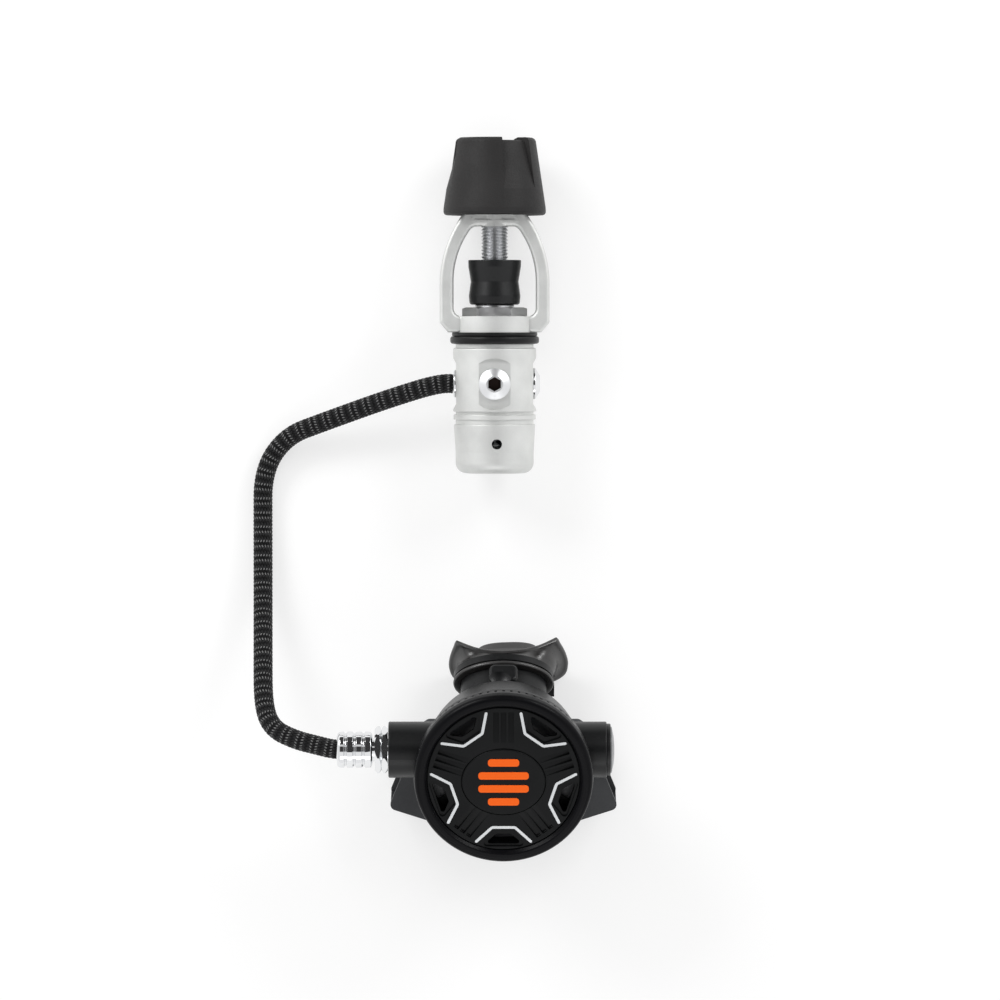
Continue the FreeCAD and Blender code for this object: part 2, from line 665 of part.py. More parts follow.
def hexagon(flats, length, x=0, y=0, z=0, along="+Z"):
    """A hexagonal bar, by its width across flats."""
    solid = DOCUMENT.addObject("Part::Prism", "hexagon")
    solid.Polygon = 6
    solid.setExpression("Circumradius", (as_size(flats) / (2 * cosine(30))).text)
    solid.setExpression("Height", as_size(length).text)
    return set_place(solid, x, y, z, *ALONG[along])


def ring(middle_radius, section_radius, x=0, y=0, z=0, along="+Z"):
    solid = DOCUMENT.addObject("Part::Torus", "ring")
    solid.setExpression("Radius1", as_size(middle_radius).text)
    solid.setExpression("Radius2", as_size(section_radius).text)
    return set_place(solid, x, y, z, *ALONG[along])


def oval_bar(half_width, half_height, start, end, y=0):
    """An elliptical bar along Z."""
    shape = DOCUMENT.addObject("Part::Ellipse", "ellipse")
    shape.setExpression("MajorRadius", as_size(half_width).text)
    shape.setExpression("MinorRadius", as_size(half_height).text)
    set_place(shape, 0, y, start)
    solid = DOCUMENT.addObject("Part::Extrusion", "oval_bar")
    solid.Base = shape
    solid.DirMode = "Custom"
    solid.Dir = Vector(0, 0, 1)
    solid.setExpression("LengthFwd", (as_size(end) - start).text)
    solid.Solid = True
    return solid


def oval_loft(first, last):
    """A bar whose elliptical section changes: (half width, half height, place along Z)."""
    sections = []
    for half_width, half_height, station in (first, last):
        shape = DOCUMENT.addObject("Part::Ellipse", "ellipse")
        shape.setExpression("MajorRadius", as_size(half_width).text)
        shape.setExpression("MinorRadius", as_size(half_height).text)
        sections.append(set_place(shape, 0, 0, station))
    solid = DOCUMENT.addObject("Part::Loft", "oval_loft")
    solid.Sections = sections
    solid.Solid = True
    solid.Ruled = True
    return solid


def joined(*solids):
    if len(solids) == 1:
        return solids[0]
    result = DOCUMENT.addObject("Part::MultiFuse", "joined")
    result.Shapes = list(solids)
    result.Refine = True
    return result


def cut(solid, *tools):
    result = DOCUMENT.addObject("Part::Cut", "cut")
    result.Base = solid
    result.Tool = joined(*tools)
    result.Refine = True
    return result


def shared(first, second):
    result = DOCUMENT.addObject("Part::Common", "shared")
    result.Base = first
    result.Tool = second
    return result


def group(*solids):
    """Separate solids that share one file."""
    result = DOCUMENT.addObject("Part::Compound", "group")
    result.Links = list(solids)
    return result


def rounded(solid, radius, wanted):
    """Rounds the edges that wanted(edge) picks."""
    DOCUMENT.recompute()
    radius = as_size(radius).value
    picked = [i for i, edge in enumerate(solid.Shape.Edges, start=1) if wanted(edge)]
    result = DOCUMENT.addObject("Part::Fillet", "rounded")
    result.Base = solid
    result.Edges = [(i, radius, radius) for i in picked]
    return result


def in_frame(solid, inner_origin, angle):
    """A solid drawn in a frame turned about X, moved to its place in the stage's frame."""
    holder = group(solid)
    holder.Placement = Placement(Vector(), Rotation(Vector(1, 0, 0), as_size(angle).value))
    holder.setExpression("Placement.Rotation.Angle", as_size(angle).text)
    for letter, number in zip("xyz", inner_origin):
        holder.setExpression(f"Placement.Base.{letter}", as_size(number).text)
    return holder


def coil(wire_radius, mean_radius, start, end, turns, along="+Z"):
    """A wound spring between two faces, one unbroken wire."""
    length = end - start - 2 * wire_radius - 2 * S.seat_gap
    helix = DOCUMENT.addObject("Part::Helix", "helix")
    helix.setExpression("Pitch", (length / turns).text)
    helix.setExpression("Height", length.text)
    helix.setExpression("Radius", as_size(mean_radius).text)
    helix.SegmentLength = 1
    wire = DOCUMENT.addObject("Part::Circle", "wire")
    wire.setExpression("Radius", as_size(wire_radius).text)
    set_place(wire, mean_radius, 0, 0, (1, 0, 0), 90)
    spring = DOCUMENT.addObject("Part::Sweep", "spring")
    spring.Sections = [wire]
    spring.Spine = (helix, [f"Edge{number + 1}" for number in range(turns)])
    spring.Solid = True
    spring.Frenet = True
    holder = group(spring)
    first = start + wire_radius + S.seat_gap
    if along == "+Z":
        return set_place(holder, 0, 0, first)
    return set_place(holder, first, 0, 0, *ALONG["+X"])


# First stage, drawn upright from the bottom of its cap

PORT_SIDES = ("+X", "-X", "+Y", "-Y")


def from_axis(distance, side, height):
    """A point at a distance from the stage's axis on one of its four sides."""
    signs = {"+X": (1, 0), "-X": (-1, 0), "+Y": (0, 1), "-Y": (0, -1)}
    x, y = signs[side]
    return (x * as_size(distance), y * as_size(distance), height)


def crown_tip():
    """Height of the rim that the seat closes."""
    return S.low_chamber_top - S.crown_length


def make_first_stage_body():
    rim = S.cap_height
    groove = S.body_radius - S.groove_depth
    ridge_bottom = rim + S.groove_height
    ridge_top = ridge_bottom + S.ridge_height
    barrel_bottom = ridge_top + S.upper_groove_height
    shaft_bore = S.shaft_radius + S.running_gap
    gland = shaft_bore + S.ring_section
    gland_bottom = (S.spring_chamber_top + S.low_chamber_bottom - S.ring_section) / 2
    gland_top = gland_bottom + S.ring_section + 2 * S.seat_gap
    tip = crown_tip()
    solid = turned("body_blank", [
        (S.spring_chamber_radius, S.skirt_bottom),
        (S.body_thread_radius, S.skirt_bottom),
        (S.body_thread_radius, rim),
        (groove, rim),
        (groove, ridge_bottom),
        (S.body_radius - 0.2, ridge_bottom, 0.3),
        (S.body_radius - 0.2, ridge_top, 0.3),
        (groove, ridge_top),
        (groove, barrel_bottom),
        (S.body_radius, barrel_bottom, 0.4),
        (S.body_radius, S.body_top, 0.8),
        (S.neck_radius, S.body_top),
        (S.neck_radius, S.body_top + S.neck_height),
        (S.spigot_radius, S.body_top + S.neck_height),
        (S.spigot_radius, S.yoke_bottom),
        (S.socket_radius, S.yoke_bottom),
        (S.socket_radius, S.socket_bottom),
        (S.high_chamber_radius, S.socket_bottom),
        (S.high_chamber_radius, S.high_chamber_bottom),
        (S.crown_bore_radius, S.high_chamber_bottom),
        (S.crown_bore_radius, tip),
        (S.crown_bore_radius + S.crown_wall, tip),
        (S.low_chamber_radius - S.crown_wall, S.low_chamber_top),
        (S.low_chamber_radius, S.low_chamber_top),
        (S.low_chamber_radius, S.low_chamber_bottom),
        (shaft_bore, S.low_chamber_bottom),
        (shaft_bore, gland_top),
        (gland, gland_top),
        (gland, gland_bottom),
        (shaft_bore, gland_bottom),
        (shaft_bore, S.spring_chamber_top),
        (S.spring_chamber_radius, S.spring_chamber_top),
    ])
    tools = []
    chip = 4
    for side in PORT_SIDES:
        face = from_axis(S.port_face, side, S.port_height)
        tools.append(rod(S.port_face_radius, chip, *face, along=side))
        floor = from_axis(S.port_face - S.port_ring_depth, side, S.port_height)
        high = side == "-Y"
        bore = S.high_port_radius if high else S.low_port_radius
        tools.append(rod(bore + S.port_ring_width, chip, *floor, along=side))
        depth = S.plug_thread_length + 0.5 if high else S.port_face - S.low_chamber_radius + 1
        start = from_axis(S.port_face - depth, side, S.port_height)
        tools.append(rod(bore, depth, *start, along=side))
    # The inclined drilling that feeds the high pressure port
    drilling = rod(S.drilling_radius, S.drilling_length)
    drilling.Placement = Placement(
        Vector(), Rotation(Vector(1, 0, 0), 180 - S.drilling_angle.value))
    set_place(drilling, 0, -S.high_chamber_radius + 1, S.socket_bottom - 0.6)
    tools.append(drilling)
    return place(cut(solid, *tools), FIRST, "first_stage_body")


def make_piston_cap():
    thread = S.body_thread_radius + S.thread_gap
    solid = turned("cap_blank", [
        (0, 0),
        (S.cap_foot_radius, 0, S.cap_corner),
        (S.cap_foot_radius + 0.1, S.cap_corner * 2),
        (S.cap_rim_radius, S.cap_height, 0.4),
        (thread, S.cap_height),
        (thread, S.cap_thread_bottom),
        (S.head_bore_radius, S.cap_thread_bottom),
        (S.head_bore_radius, S.cap_floor),
        (0, S.cap_floor),
    ])
    hole = rod(S.ambient_hole_radius, S.cap_rim_radius, 1, 0, S.ambient_hole_height, "-Y")
    return place(cut(solid, hole), FIRST, "piston_cap")


def piston_bottom():
    return S.cap_floor + S.seat_gap


def make_piston():
    bottom = piston_bottom()
    head = S.head_bore_radius - S.running_gap
    top = bottom + S.head_height
    groove_bottom = bottom + (S.head_height - S.ring_section) / 2 - S.seat_gap
    groove_top = groove_bottom + S.ring_section + 2 * S.seat_gap
    groove = S.head_bore_radius - S.ring_section
    tip = crown_tip() - S.piston_travel - 0.4
    pocket = tip - S.shaft_seat_pocket
    solid = turned("piston_blank", [
        (S.shaft_bore_radius, bottom),
        (head, bottom, 0.4),
        (head, groove_bottom),
        (groove, groove_bottom),
        (groove, groove_top),
        (head, groove_top),
        (head, top, 0.4),
        (S.shaft_radius, top, 0.8),
        (S.shaft_radius, tip, 0.5),
        (S.seat_radius + S.seat_gap, tip),
        (S.seat_radius + S.seat_gap, pocket),
        (0, pocket),
        (0, pocket - 2),
        (S.shaft_bore_radius, pocket - 3),
    ])
    cross = rod(1.0, 2 * S.shaft_radius + 2, -S.shaft_radius - 1, 0, pocket - 3.6, "+X")
    return place(cut(solid, cross), FIRST, "piston")


def make_high_pressure_seat():
    top = crown_tip() - S.piston_travel
    bottom = top - 0.4 - S.shaft_seat_pocket + S.seat_gap
    solid = turned("seat_blank", [
        (0, bottom),
        (S.seat_radius, bottom),
        (S.seat_radius, top, 0.3),
        (0, top),
    ])
    return place(solid, FIRST, "high_pressure_seat")


def make_piston_rings():
    section = S.ring_section / 2 - S.seat_gap
    head_ring = ring(S.head_bore_radius - S.ring_section / 2, section)
    middle = piston_bottom() + S.head_height / 2
    set_place(head_ring, 0, 0, middle)
    place(head_ring, FIRST.inner(0, 0, middle, 0), "piston_head_o_ring")
    height = (S.spring_chamber_top + S.low_chamber_bottom) / 2 + S.seat_gap
    centre = S.shaft_radius + S.running_gap + S.ring_section / 2
    shaft_ring = ring(centre, section)
    place(shaft_ring, FIRST.inner(0, 0, height, 0), "piston_shaft_o_ring")


def make_piston_spring():
    start = piston_bottom() + S.head_height
    spring = coil(S.piston_wire_radius, S.piston_spring_radius, start, S.spring_chamber_top, 6)
    return place(group(spring), FIRST, "piston_spring")


def make_neck_rings():
    spacer_bottom = S.yoke_bottom - S.spacer_height
    inner = S.spigot_radius + S.seat_gap
    solid = turned("spacer_blank", [
        (inner, spacer_bottom),
        (S.spacer_radius, spacer_bottom, 0.5),
        (S.spacer_radius, S.yoke_bottom, 0.5),
        (inner, S.yoke_bottom),
    ])
    place(solid, FIRST, "neck_spacer_ring")
    neck_top = S.body_top + S.neck_height
    solid = turned("bumper_blank", [
        (inner, neck_top + S.seat_gap),
        (S.neck_radius, neck_top + S.seat_gap, 0.4),
        (S.bumper_radius, neck_top + 0.4, 1.2),
        (S.bumper_radius, spacer_bottom - S.seat_gap, 1.2),
        (inner, spacer_bottom - S.seat_gap),
    ])
    place(solid, FIRST, "neck_bumper_ring")


def plug_outline(bore):
    """Profile of a port plug: distance from the stage's axis, radius."""
    thread = bore - S.thread_gap
    face = S.port_face
    return [
        (face - S.plug_thread_length, 0),
        (face - S.plug_thread_length, thread, 0.5),
        (face, thread),
        (face, S.plug_head_radius, 0.2),
        (face + S.plug_rim, S.plug_head_radius, 0.4),
        (face + S.plug_height, plug_tip_radius()),
        (face + S.plug_height, 0),
    ]


def make_port_plug(name, bore, side):
    """A plug with a hexagon socket, drawn towards +X and turned to its side."""
    solid = turned(name, plug_outline(bore), axis="H_Axis")
    floor = S.port_face + S.plug_height - S.plug_key_depth
    key = hexagon(S.plug_key, S.plug_key_depth + 1, floor, 0, 0, along="+X")
    plug = group(cut(solid, key))
    turns = {"+X": 0, "+Y": 90, "-Y": -90}
    return set_place(plug, 0, 0, S.port_height, (0, 0, 1), turns[side])


def make_port_plugs():
    place(group(make_port_plug("high_plug", S.high_port_radius, "-Y")), FIRST, "high_pressure_plug")
    plugs = [make_port_plug("low_plug", S.low_port_radius, side) for side in ("+X", "+Y")]
    place(group(*plugs), FIRST, "low_pressure_plugs")


def make_port_rings():
    """An o-ring under the head of each plug and of the hose's collar."""
    rings = []
    for side in PORT_SIDES:
        bore = S.high_port_radius if side == "-Y" else S.low_port_radius
        centre = from_axis(S.port_face - S.port_ring_depth / 2, side, S.port_height)
        section = S.port_ring_width / 2 - S.seat_gap
        rings.append(ring(bore + S.port_ring_width / 2, section, *centre, along=side))
    return place(group(*rings), FIRST, "port_o_rings")


def make_hose_port_fitting():
    """Chrome collar in the left port, with the bore of the hose."""
    thread = S.low_port_radius - S.thread_gap
    face = S.port_face
    end = face + S.fitting_height
    bore = 2.4
    solid = turned("fitting_blank", [
        (-face + S.plug_thread_length, bore),
        (-face + S.plug_thread_length, thread, 0.5),
        (-face, thread),
        (-face, S.fitting_radius, 0.3),
        (-end, S.fitting_radius, 0.6),
        (-end, bore),
    ], axis="H_Axis")
    return place(solid, FIRST.inner(0, 0, S.port_height, 0), "hose_port_fitting")


def yoke_base_top():
    return S.yoke_bottom + S.yoke_base_height


def yoke_outline():
    """Outer outline of the yoke from the front."""
    right = [
        (S.yoke_foot_half_width, S.yoke_bottom),
        (S.yoke_half_width, S.yoke_bottom + S.yoke_foot_height, 2),
        (S.yoke_half_width, S.yoke_shoulder, S.arm_bend_radius),
        (S.yoke_top_half_width, S.yoke_top, 1.5),
    ]
    left = [(-1 * corner[0], *corner[1:]) for corner in reversed(right)]
    return right + left


def yoke_opening():
    """The gap that takes the valve of a tank."""
    inner = S.yoke_half_width - S.arm_width
    right = [
        (inner, yoke_base_top(), 3.5),
        (inner, S.yoke_shoulder - 3, S.arm_bend_inner_radius),
        (S.bridge_half_opening, S.bridge_bottom, 4),
    ]
    left = [(-1 * corner[0], *corner[1:]) for corner in reversed(right)]
    return right + left


def make_yoke():
    half_depth = S.yoke_depth / 2
    stirrup = padded_outline("stirrup", yoke_outline(), "XZ_Plane", -half_depth, S.yoke_depth)
    gap = padded_outline("gap", yoke_opening(), "XZ_Plane", -half_depth - 1, S.yoke_depth + 2)
    frame = cut(stirrup, gap)
    frame = rounded(frame, 1.6, is_long_side_edge)
    base = rod(S.yoke_base_radius, S.yoke_base_height, 0, 0, S.yoke_bottom)
    boss = rod(S.boss_radius, S.boss_top - S.bridge_bottom, 0, 0, S.bridge_bottom)
    bore = rod(S.screw_radius + S.seat_gap, S.boss_top, 0, 0, yoke_base_top() + 1)
    passage = rod(S.socket_radius, S.yoke_base_height + 2, 0, 0, S.yoke_bottom - 1)
    blank = joined(frame, base, boss, make_plaque())
    return place(cut(blank, bore, passage), FIRST, "yoke")


def is_long_side_edge(edge):
    """An edge of the yoke's front or back face."""
    box = edge.BoundBox
    half_depth = S.yoke_depth.value / 2
    flat = box.YLength < 1e-3
    return flat and abs(abs(box.YMin) - half_depth) < 1e-3


def make_plaque():
    """Raised empty frame on the front of the bridge."""
    top = S.yoke_top - 1.2
    bottom = top - S.plaque_height
    foot = S.plaque_width / 2
    head = foot - S.plaque_height / 2
    border = 0.9
    outer = [(foot, bottom, 0.6), (head, top, 0.6), (-1 * head, top, 0.6), (-1 * foot, bottom, 0.6)]
    inner = [
        (foot - 1.8, bottom + border),
        (head - border, top - border),
        (border - head, top - border),
        (1.8 - foot, bottom + border),
    ]
    front = S.yoke_depth / 2 - 1
    height = S.plaque_rise + 1
    plate = padded_outline("plaque", outer, "XZ_Plane", front, height)
    field = padded_outline("field", inner, "XZ_Plane", S.yoke_depth / 2, height)
    return cut(plate, field)


def retainer_top():
    return yoke_base_top() + S.retainer_hex_height


def make_yoke_retainer():
    base = yoke_base_top()
    top = retainer_top()
    lip = top + S.retainer_lip_height
    filter_seat = lip - S.filter_height - S.circlip_section - 1.1
    stem_radius = S.socket_radius - S.thread_gap
    clip_top = lip - 0.9
    clip_bottom = clip_top - S.circlip_section - 2 * S.seat_gap
    clip_groove = S.filter_radius + 0.7
    stem = turned("retainer_blank", [
        (S.retainer_bore_radius, S.socket_bottom + 1),
        (stem_radius, S.socket_bottom + 1, 0.6),
        (stem_radius, top),
        (S.retainer_lip_radius, top),
        (S.retainer_lip_radius, lip, 0.5),
        (S.filter_radius + S.seat_gap, lip),
        (S.filter_radius + S.seat_gap, clip_top),
        (clip_groove, clip_top),
        (clip_groove, clip_bottom),
        (S.filter_radius + S.seat_gap, clip_bottom),
        (S.filter_radius + S.seat_gap, filter_seat),
        (S.retainer_bore_radius, filter_seat),
    ])
    flats = S.retainer_corner_radius * 2 * cosine(30)
    head = cut(hexagon(flats, S.retainer_hex_height, 0, 0, base),
               rod(stem_radius - 1, S.retainer_hex_height + 2, 0, 0, base - 1))
    disc = S.retainer_corner_radius - 0.3
    chamfer = turned("hex_chamfer", [
        (0, base - 1),
        (disc + 1, base - 1),
        (disc + 1, top - 0.9),
        (disc - 1.2, top),
        (0, top),
    ])
    place(joined(stem, shared(head, chamfer)), FIRST, "yoke_retainer")
    disc_top = filter_seat + S.filter_height
    disc = turned("filter_blank", [
        (0, filter_seat),
        (S.filter_radius, filter_seat),
        (S.filter_radius, disc_top - 0.6),
        (S.filter_radius - 1.4, disc_top),
        (0, disc_top),
    ])
    place(disc, FIRST, "inlet_filter")
    clip = turned("clip_blank", [
        (S.filter_radius - 1.1, clip_bottom + S.seat_gap),
        (clip_groove - S.seat_gap, clip_bottom + S.seat_gap),
        (clip_groove - S.seat_gap, clip_top - S.seat_gap),
        (S.filter_radius - 1.1, clip_top - S.seat_gap),
    ])
    gap = block(S.filter_radius * 2, 2.4, 4, 0, -1.2, clip_bottom - 1)
    place(cut(clip, gap), FIRST, "filter_circlip")


def dust_cap_bottom():
    return retainer_top() + S.retainer_lip_height


def dust_cap_floor():
    return dust_cap_bottom() + S.dust_cap_height - S.dust_cap_recess_depth


def make_dust_cap():
    bottom = dust_cap_bottom()
    top = bottom + S.dust_cap_height
    waist = bottom + S.dust_cap_waist_height
    nub = S.filter_radius - 1.8
    solid = turned("dust_cap_blank", [
        (0, bottom - 0.7),
        (nub, bottom - 0.7),
        (nub, bottom),
        (S.dust_cap_radius - 0.7, bottom, 1.2),
        (S.dust_cap_radius - 0.3, bottom + 4, 3),
        (S.dust_cap_waist, waist, 1.5),
        (S.dust_cap_radius - 0.1, top - 3, 4),
        (S.dust_cap_radius, top, 0.4),
        (S.dust_cap_recess_radius, top, 0.4),
        (S.dust_cap_recess_radius, dust_cap_floor()),
        (0, dust_cap_floor()),
    ])
    return place(solid, FIRST, "dust_cap")


def make_screw_tip_pad():
    """Pad that presses on the dust cap and lets the screw turn above it."""
    bottom = dust_cap_floor() + S.seat_gap
    top = bottom + S.pad_height
    solid = turned("pad_blank", [
        (0, bottom),
        (S.pad_radius - 1, bottom),
        (S.pad_radius, bottom + 1),
        (S.pad_radius, top, 0.4),
        (S.pad_stem_radius, top),
        (S.pad_stem_radius, top + S.pad_stem_length, 0.4),
        (0, top + S.pad_stem_length),
    ])
    return place(solid, FIRST, "screw_tip_pad")


def screw_bottom():
    return dust_cap_floor() + S.seat_gap + S.pad_height + S.seat_gap


def make_yoke_screw():
    """Screw with its thread as rings, a slot along its front and a bore for the pad."""
    bottom = screw_bottom()
    root = S.screw_radius - S.screw_thread_depth
    thread_start = bottom + 2.2
    bore = S.pad_stem_radius + S.running_gap
    bore_top = bottom + S.pad_stem_length + 0.5
    corners = [(bore, bottom), (root - 1, bottom), (root, bottom + 1), (root, thread_start)]
    turns = int((S.boss_top.value - thread_start.value) / S.screw_pitch.value)
    for turn in range(turns):
        foot = thread_start + turn * S.screw_pitch
        corners.append((S.screw_radius, foot + S.screw_pitch * 0.42))
        corners.append((S.screw_radius, foot + S.screw_pitch * 0.58))
        corners.append((root, foot + S.screw_pitch))
    core_bore_start = S.boss_top + 1
    corners += [
        (root, core_bore_start),
        (S.screw_radius, core_bore_start + 0.5),
        (S.screw_radius, S.screw_top, 0.6),
        (0, S.screw_top),
        (0, bore_top + 1.2),
        (bore, bore_top),
    ]
    solid = turned("screw_blank", corners)
    depth = S.screw_slot_depth
    slot = block(S.screw_slot_width, depth + 2, S.boss_top - bottom - 2,
                 -S.screw_slot_width / 2, -S.screw_radius - 2, bottom + 1)
    pin = rod(S.cross_pin_radius + S.seat_gap, 2 * S.screw_radius + 2,
              -S.screw_radius - 1, 0, S.cross_pin_height, "+X")
    return place(cut(solid, slot, pin), FIRST, "yoke_screw")


def knob_core_bottom():
    return S.knob_recess_top - 0.4


def make_knob_core():
    bottom = knob_core_bottom()
    height = S.knob_core_top - bottom
    flats = S.knob_core_corner_radius * 2 * cosine(30)
    solid = hexagon(flats, height, 0, 0, bottom)
    bore = rod(S.screw_radius + S.seat_gap, S.screw_top - bottom + 1, 0, 0, bottom - 1)
    pin = rod(S.cross_pin_radius + S.seat_gap, 40, -20, 0, S.cross_pin_height, "+X")
    place(cut(solid, bore, pin), FIRST, "knob_core")
    length = S.knob_core_corner_radius * 2 * cosine(30) - 1
    pin = rod(S.cross_pin_radius, length, -length / 2, 0, S.cross_pin_height, "+X")
    place(group(pin), FIRST, "knob_cross_pin")


def make_knob():
    rim = S.knob_rim_radius
    middle_top = S.knob_top - S.knob_lobe_rise
    lip = S.knob_bottom + S.knob_rim_height
    body = turned("knob_blank", [
        (S.knob_recess_radius, S.knob_bottom),
        (rim, S.knob_bottom, 1.6),
        (rim - 0.1, lip, 4),
        (S.knob_top_radius, S.knob_top, 2.2),
        (S.knob_top_radius - 6, S.knob_top, 1.2),
        (S.knob_top_radius - 8, middle_top),
        (0, middle_top),
        (0, S.knob_recess_top),
        (S.knob_recess_radius - 1.5, S.knob_recess_top),
        (S.knob_recess_radius, S.knob_recess_top - 2),
    ])
    # The panels between the lobes fade out towards the rim
    sketch = new_sketch(body, "XZ_Plane")
    draw_outline(sketch, [
        (S.knob_top_radius - S.knob_lobe_depth - 8, middle_top),
        (S.knob_top_radius - S.knob_lobe_depth, middle_top, 1.5),
        (rim, lip + 3.5),
        (rim + 4, lip + 3.5),
        (rim + 4, S.knob_top + 4),
        (S.knob_top_radius - S.knob_lobe_depth - 8, S.knob_top + 4),
    ])
    panel = body.newObject("PartDesign::Groove", "panel")
    panel.Profile = sketch
    panel.ReferenceAxis = (sketch, ["V_Axis"])
    panel.setExpression("Angle", S.knob_panel_angle.text)
    polar_copies(body, panel, S.knob_lobe_count)
    shell = group(body)
    turn = S.knob_lobe_turn - 90
    shell.Placement = Placement(Vector(), Rotation(Vector(0, 0, 1), turn.value))
    shell.setExpression("Placement.Rotation.Angle", turn.text)
    flats = S.knob_core_corner_radius * 2 * cosine(30) + 2 * S.seat_gap
    seat = hexagon(flats, S.knob_core_top + S.seat_gap - S.knob_bottom, 0, 0, S.knob_bottom)
    return place(cut(shell, seat), FIRST, "knob")


# Second stage, drawn with its cover's front at height zero, facing +Z

def make_front_ring():
    lip_back = -S.front_ring_lip
    body = turned("ring_blank", [
        (S.front_ring_opening, -S.cover_front, 0.4),
        (S.front_ring_opening + 1.2, 0, 1.0),
        (S.front_ring_radius - 0.4, 0, 2.6),
        (S.front_ring_radius, -S.front_ring_depth / 2, 3.0),
        (S.front_ring_radius - 0.6, -S.front_ring_depth, 0.5),
        (S.rim_thread_radius, -S.front_ring_depth),
        (S.rim_thread_radius, lip_back),
        (S.front_ring_opening, lip_back),
    ])
    foot = S.front_ring_radius - 0.6 - S.ring_notch_depth
    half = S.ring_notch_width / 2
    notch = [
        (foot, -1 * half),
        (foot + 3, -1 * half),
        (foot + 3, half),
        (foot, half),
    ]
    cutter = pocket(body, notch, -S.front_ring_depth + S.ring_notch_height,
                    S.ring_notch_height + 1)
    polar_copies(body, cutter, S.ring_notch_count)
    return place(body, SECOND, "front_ring")


def polar_copies(body, feature, count):
    """Repeats a feature round the body's Z axis."""
    pattern = body.newObject("PartDesign::PolarPattern", "copies")
    pattern.Originals = [feature]
    pattern.Axis = (origin_plane(body, "Z_Axis"), [""])
    pattern.Angle = 360
    pattern.setExpression("Occurrences", as_size(count).text)
    body.Tip = pattern
    return pattern


def pocket(body, corners, front, depth):
    """A pocket in the front of a plate, from a height downwards."""
    sketch = new_sketch(body, "XY_Plane", front)
    draw_outline(sketch, corners)
    feature = body.newObject("PartDesign::Pocket", "pocket")
    feature.Profile = sketch
    feature.setExpression("Length", as_size(depth).text)
    return feature


def mirrored(right):
    """An outline from its right half, from the lowest corner up."""
    return right + [(-1 * corner[0], *corner[1:]) for corner in reversed(right)]


def rib_groove(body, across, front):
    """A groove between two ribs that deepens towards the edge of the cover."""
    start = across - S.rib_groove_width / 2
    sketch = new_sketch(body, "YZ_Plane", start)
    draw_outline(sketch, [
        (S.rib_inner, front),
        (S.rib_outer, front - S.rib_depth, 0.4),
        (S.rib_outer, front + 1),
        (S.rib_inner, front + 1),
    ])
    feature = body.newObject("PartDesign::Pocket", "groove")
    feature.Profile = sketch
    feature.Reversed = True
    feature.setExpression("Length", S.rib_groove_width.text)
    return feature


def make_purge_cover():
    front = -S.cover_front
    back = front - S.cover_thickness
    edge = S.front_ring_opening - S.thread_gap * 2
    flange = S.rim_thread_radius - S.thread_gap * 2
    flange_front = -S.front_ring_lip - S.seat_gap
    body = turned("cover_blank", [
        (0, front),
        (edge, front, 0.5),
        (edge, flange_front),
        (flange, flange_front),
        (flange, flange_front - S.cover_flange_thickness),
        (edge - 1.5, flange_front - S.cover_flange_thickness),
        (edge - 1.5, back),
        (0, back),
    ])
    field = mirrored([
        (S.window_outer_half + 1.4, -S.window_outer - 1.0, 1.5),
        (S.trim_inner_half - 0.4, -S.trim_inner - 1.1, 1.0),
    ])
    polar_copies(body, pocket(body, field, front, S.cover_recess), S.window_count)
    window = mirrored([
        (S.window_outer_half, -S.window_outer, 1.0),
        (S.window_inner_half, -S.window_inner, 0.8),
    ])
    polar_copies(body, pocket(body, window, front, S.cover_thickness + 1), S.window_count)
    for place_across in (-1, 0, 1):
        groove = rib_groove(body, place_across * S.rib_pitch, front)
        polar_copies(body, groove, S.window_count)
    hole = oval_bar(S.button_half_width + S.button_gap, S.button_half_height + S.button_gap,
                    back - 1, front + 1, -S.button_drop)
    return place(cut(body, hole), SECOND, "purge_cover")


def softened_line(points, radius):
    """A line through points with its corners rounded."""
    edges = []
    position = points[0]
    for before, corner, after in zip(points, points[1:], points[2:]):
        first, middle, last, _ = corner_arc(before, corner, after, radius)
        edges.append(Part.LineSegment(position, first).toShape())
        edges.append(Part.Arc(first, middle, last).toShape())
        position = last
    edges.append(Part.LineSegment(position, points[-1]).toShape())
    return Part.Wire(edges)


def make_trim_strips():
    """Bright three-part strips along the windows' inner edges."""
    points = [
        Vector(-S.trim_outer_half.value, -S.trim_outer.value, 0),
        Vector(-S.trim_inner_half.value, -S.trim_inner.value, 0),
        Vector(S.trim_inner_half.value, -S.trim_inner.value, 0),
        Vector(S.trim_outer_half.value, -S.trim_outer.value, 0),
    ]
    line = softened_line(points, S.trim_bend.value)
    strip = Part.Face(line.makeOffset2D(S.trim_width.value / 2, 0, False, False))
    solid = strip.extrude(Vector(0, 0, S.trim_rise.value))
    strips = []
    count = int(S.window_count.value)
    for number in range(count):
        copy = solid.copy()
        copy.rotate(Vector(), Vector(0, 0, 1), 360 * number / count)
        strips.append(copy)
    feature = DOCUMENT.addObject("Part::Feature", "trim_strips")
    feature.Shape = Part.makeCompound(strips)
    return place(feature, SECOND.inner(0, 0, -S.cover_front, 0), "cover_trim_strips")


def make_purge_button():
    back = -S.cover_front - S.cover_thickness
    flange_front = back - S.seat_gap * 2
    flange_back = flange_front - S.button_flange_height
    head = oval_bar(S.button_half_width, S.button_half_height, flange_back, -S.button_front)
    head = rounded(head, 0.5, lambda edge: edge.BoundBox.ZMin > -S.button_front.value - 0.01)
    flange = oval_bar(S.button_half_width + S.button_flange,
                      S.button_half_height + S.button_flange, flange_back, flange_front)
    tip = -S.diaphragm_front + 0.3
    stem = rod(S.button_stem_radius, flange_back - tip + 0.2, 0, S.button_drop, tip)
    button = joined(head, flange, stem)
    place(button, SECOND.inner(0, -S.button_drop, 0, 0), "purge_button")


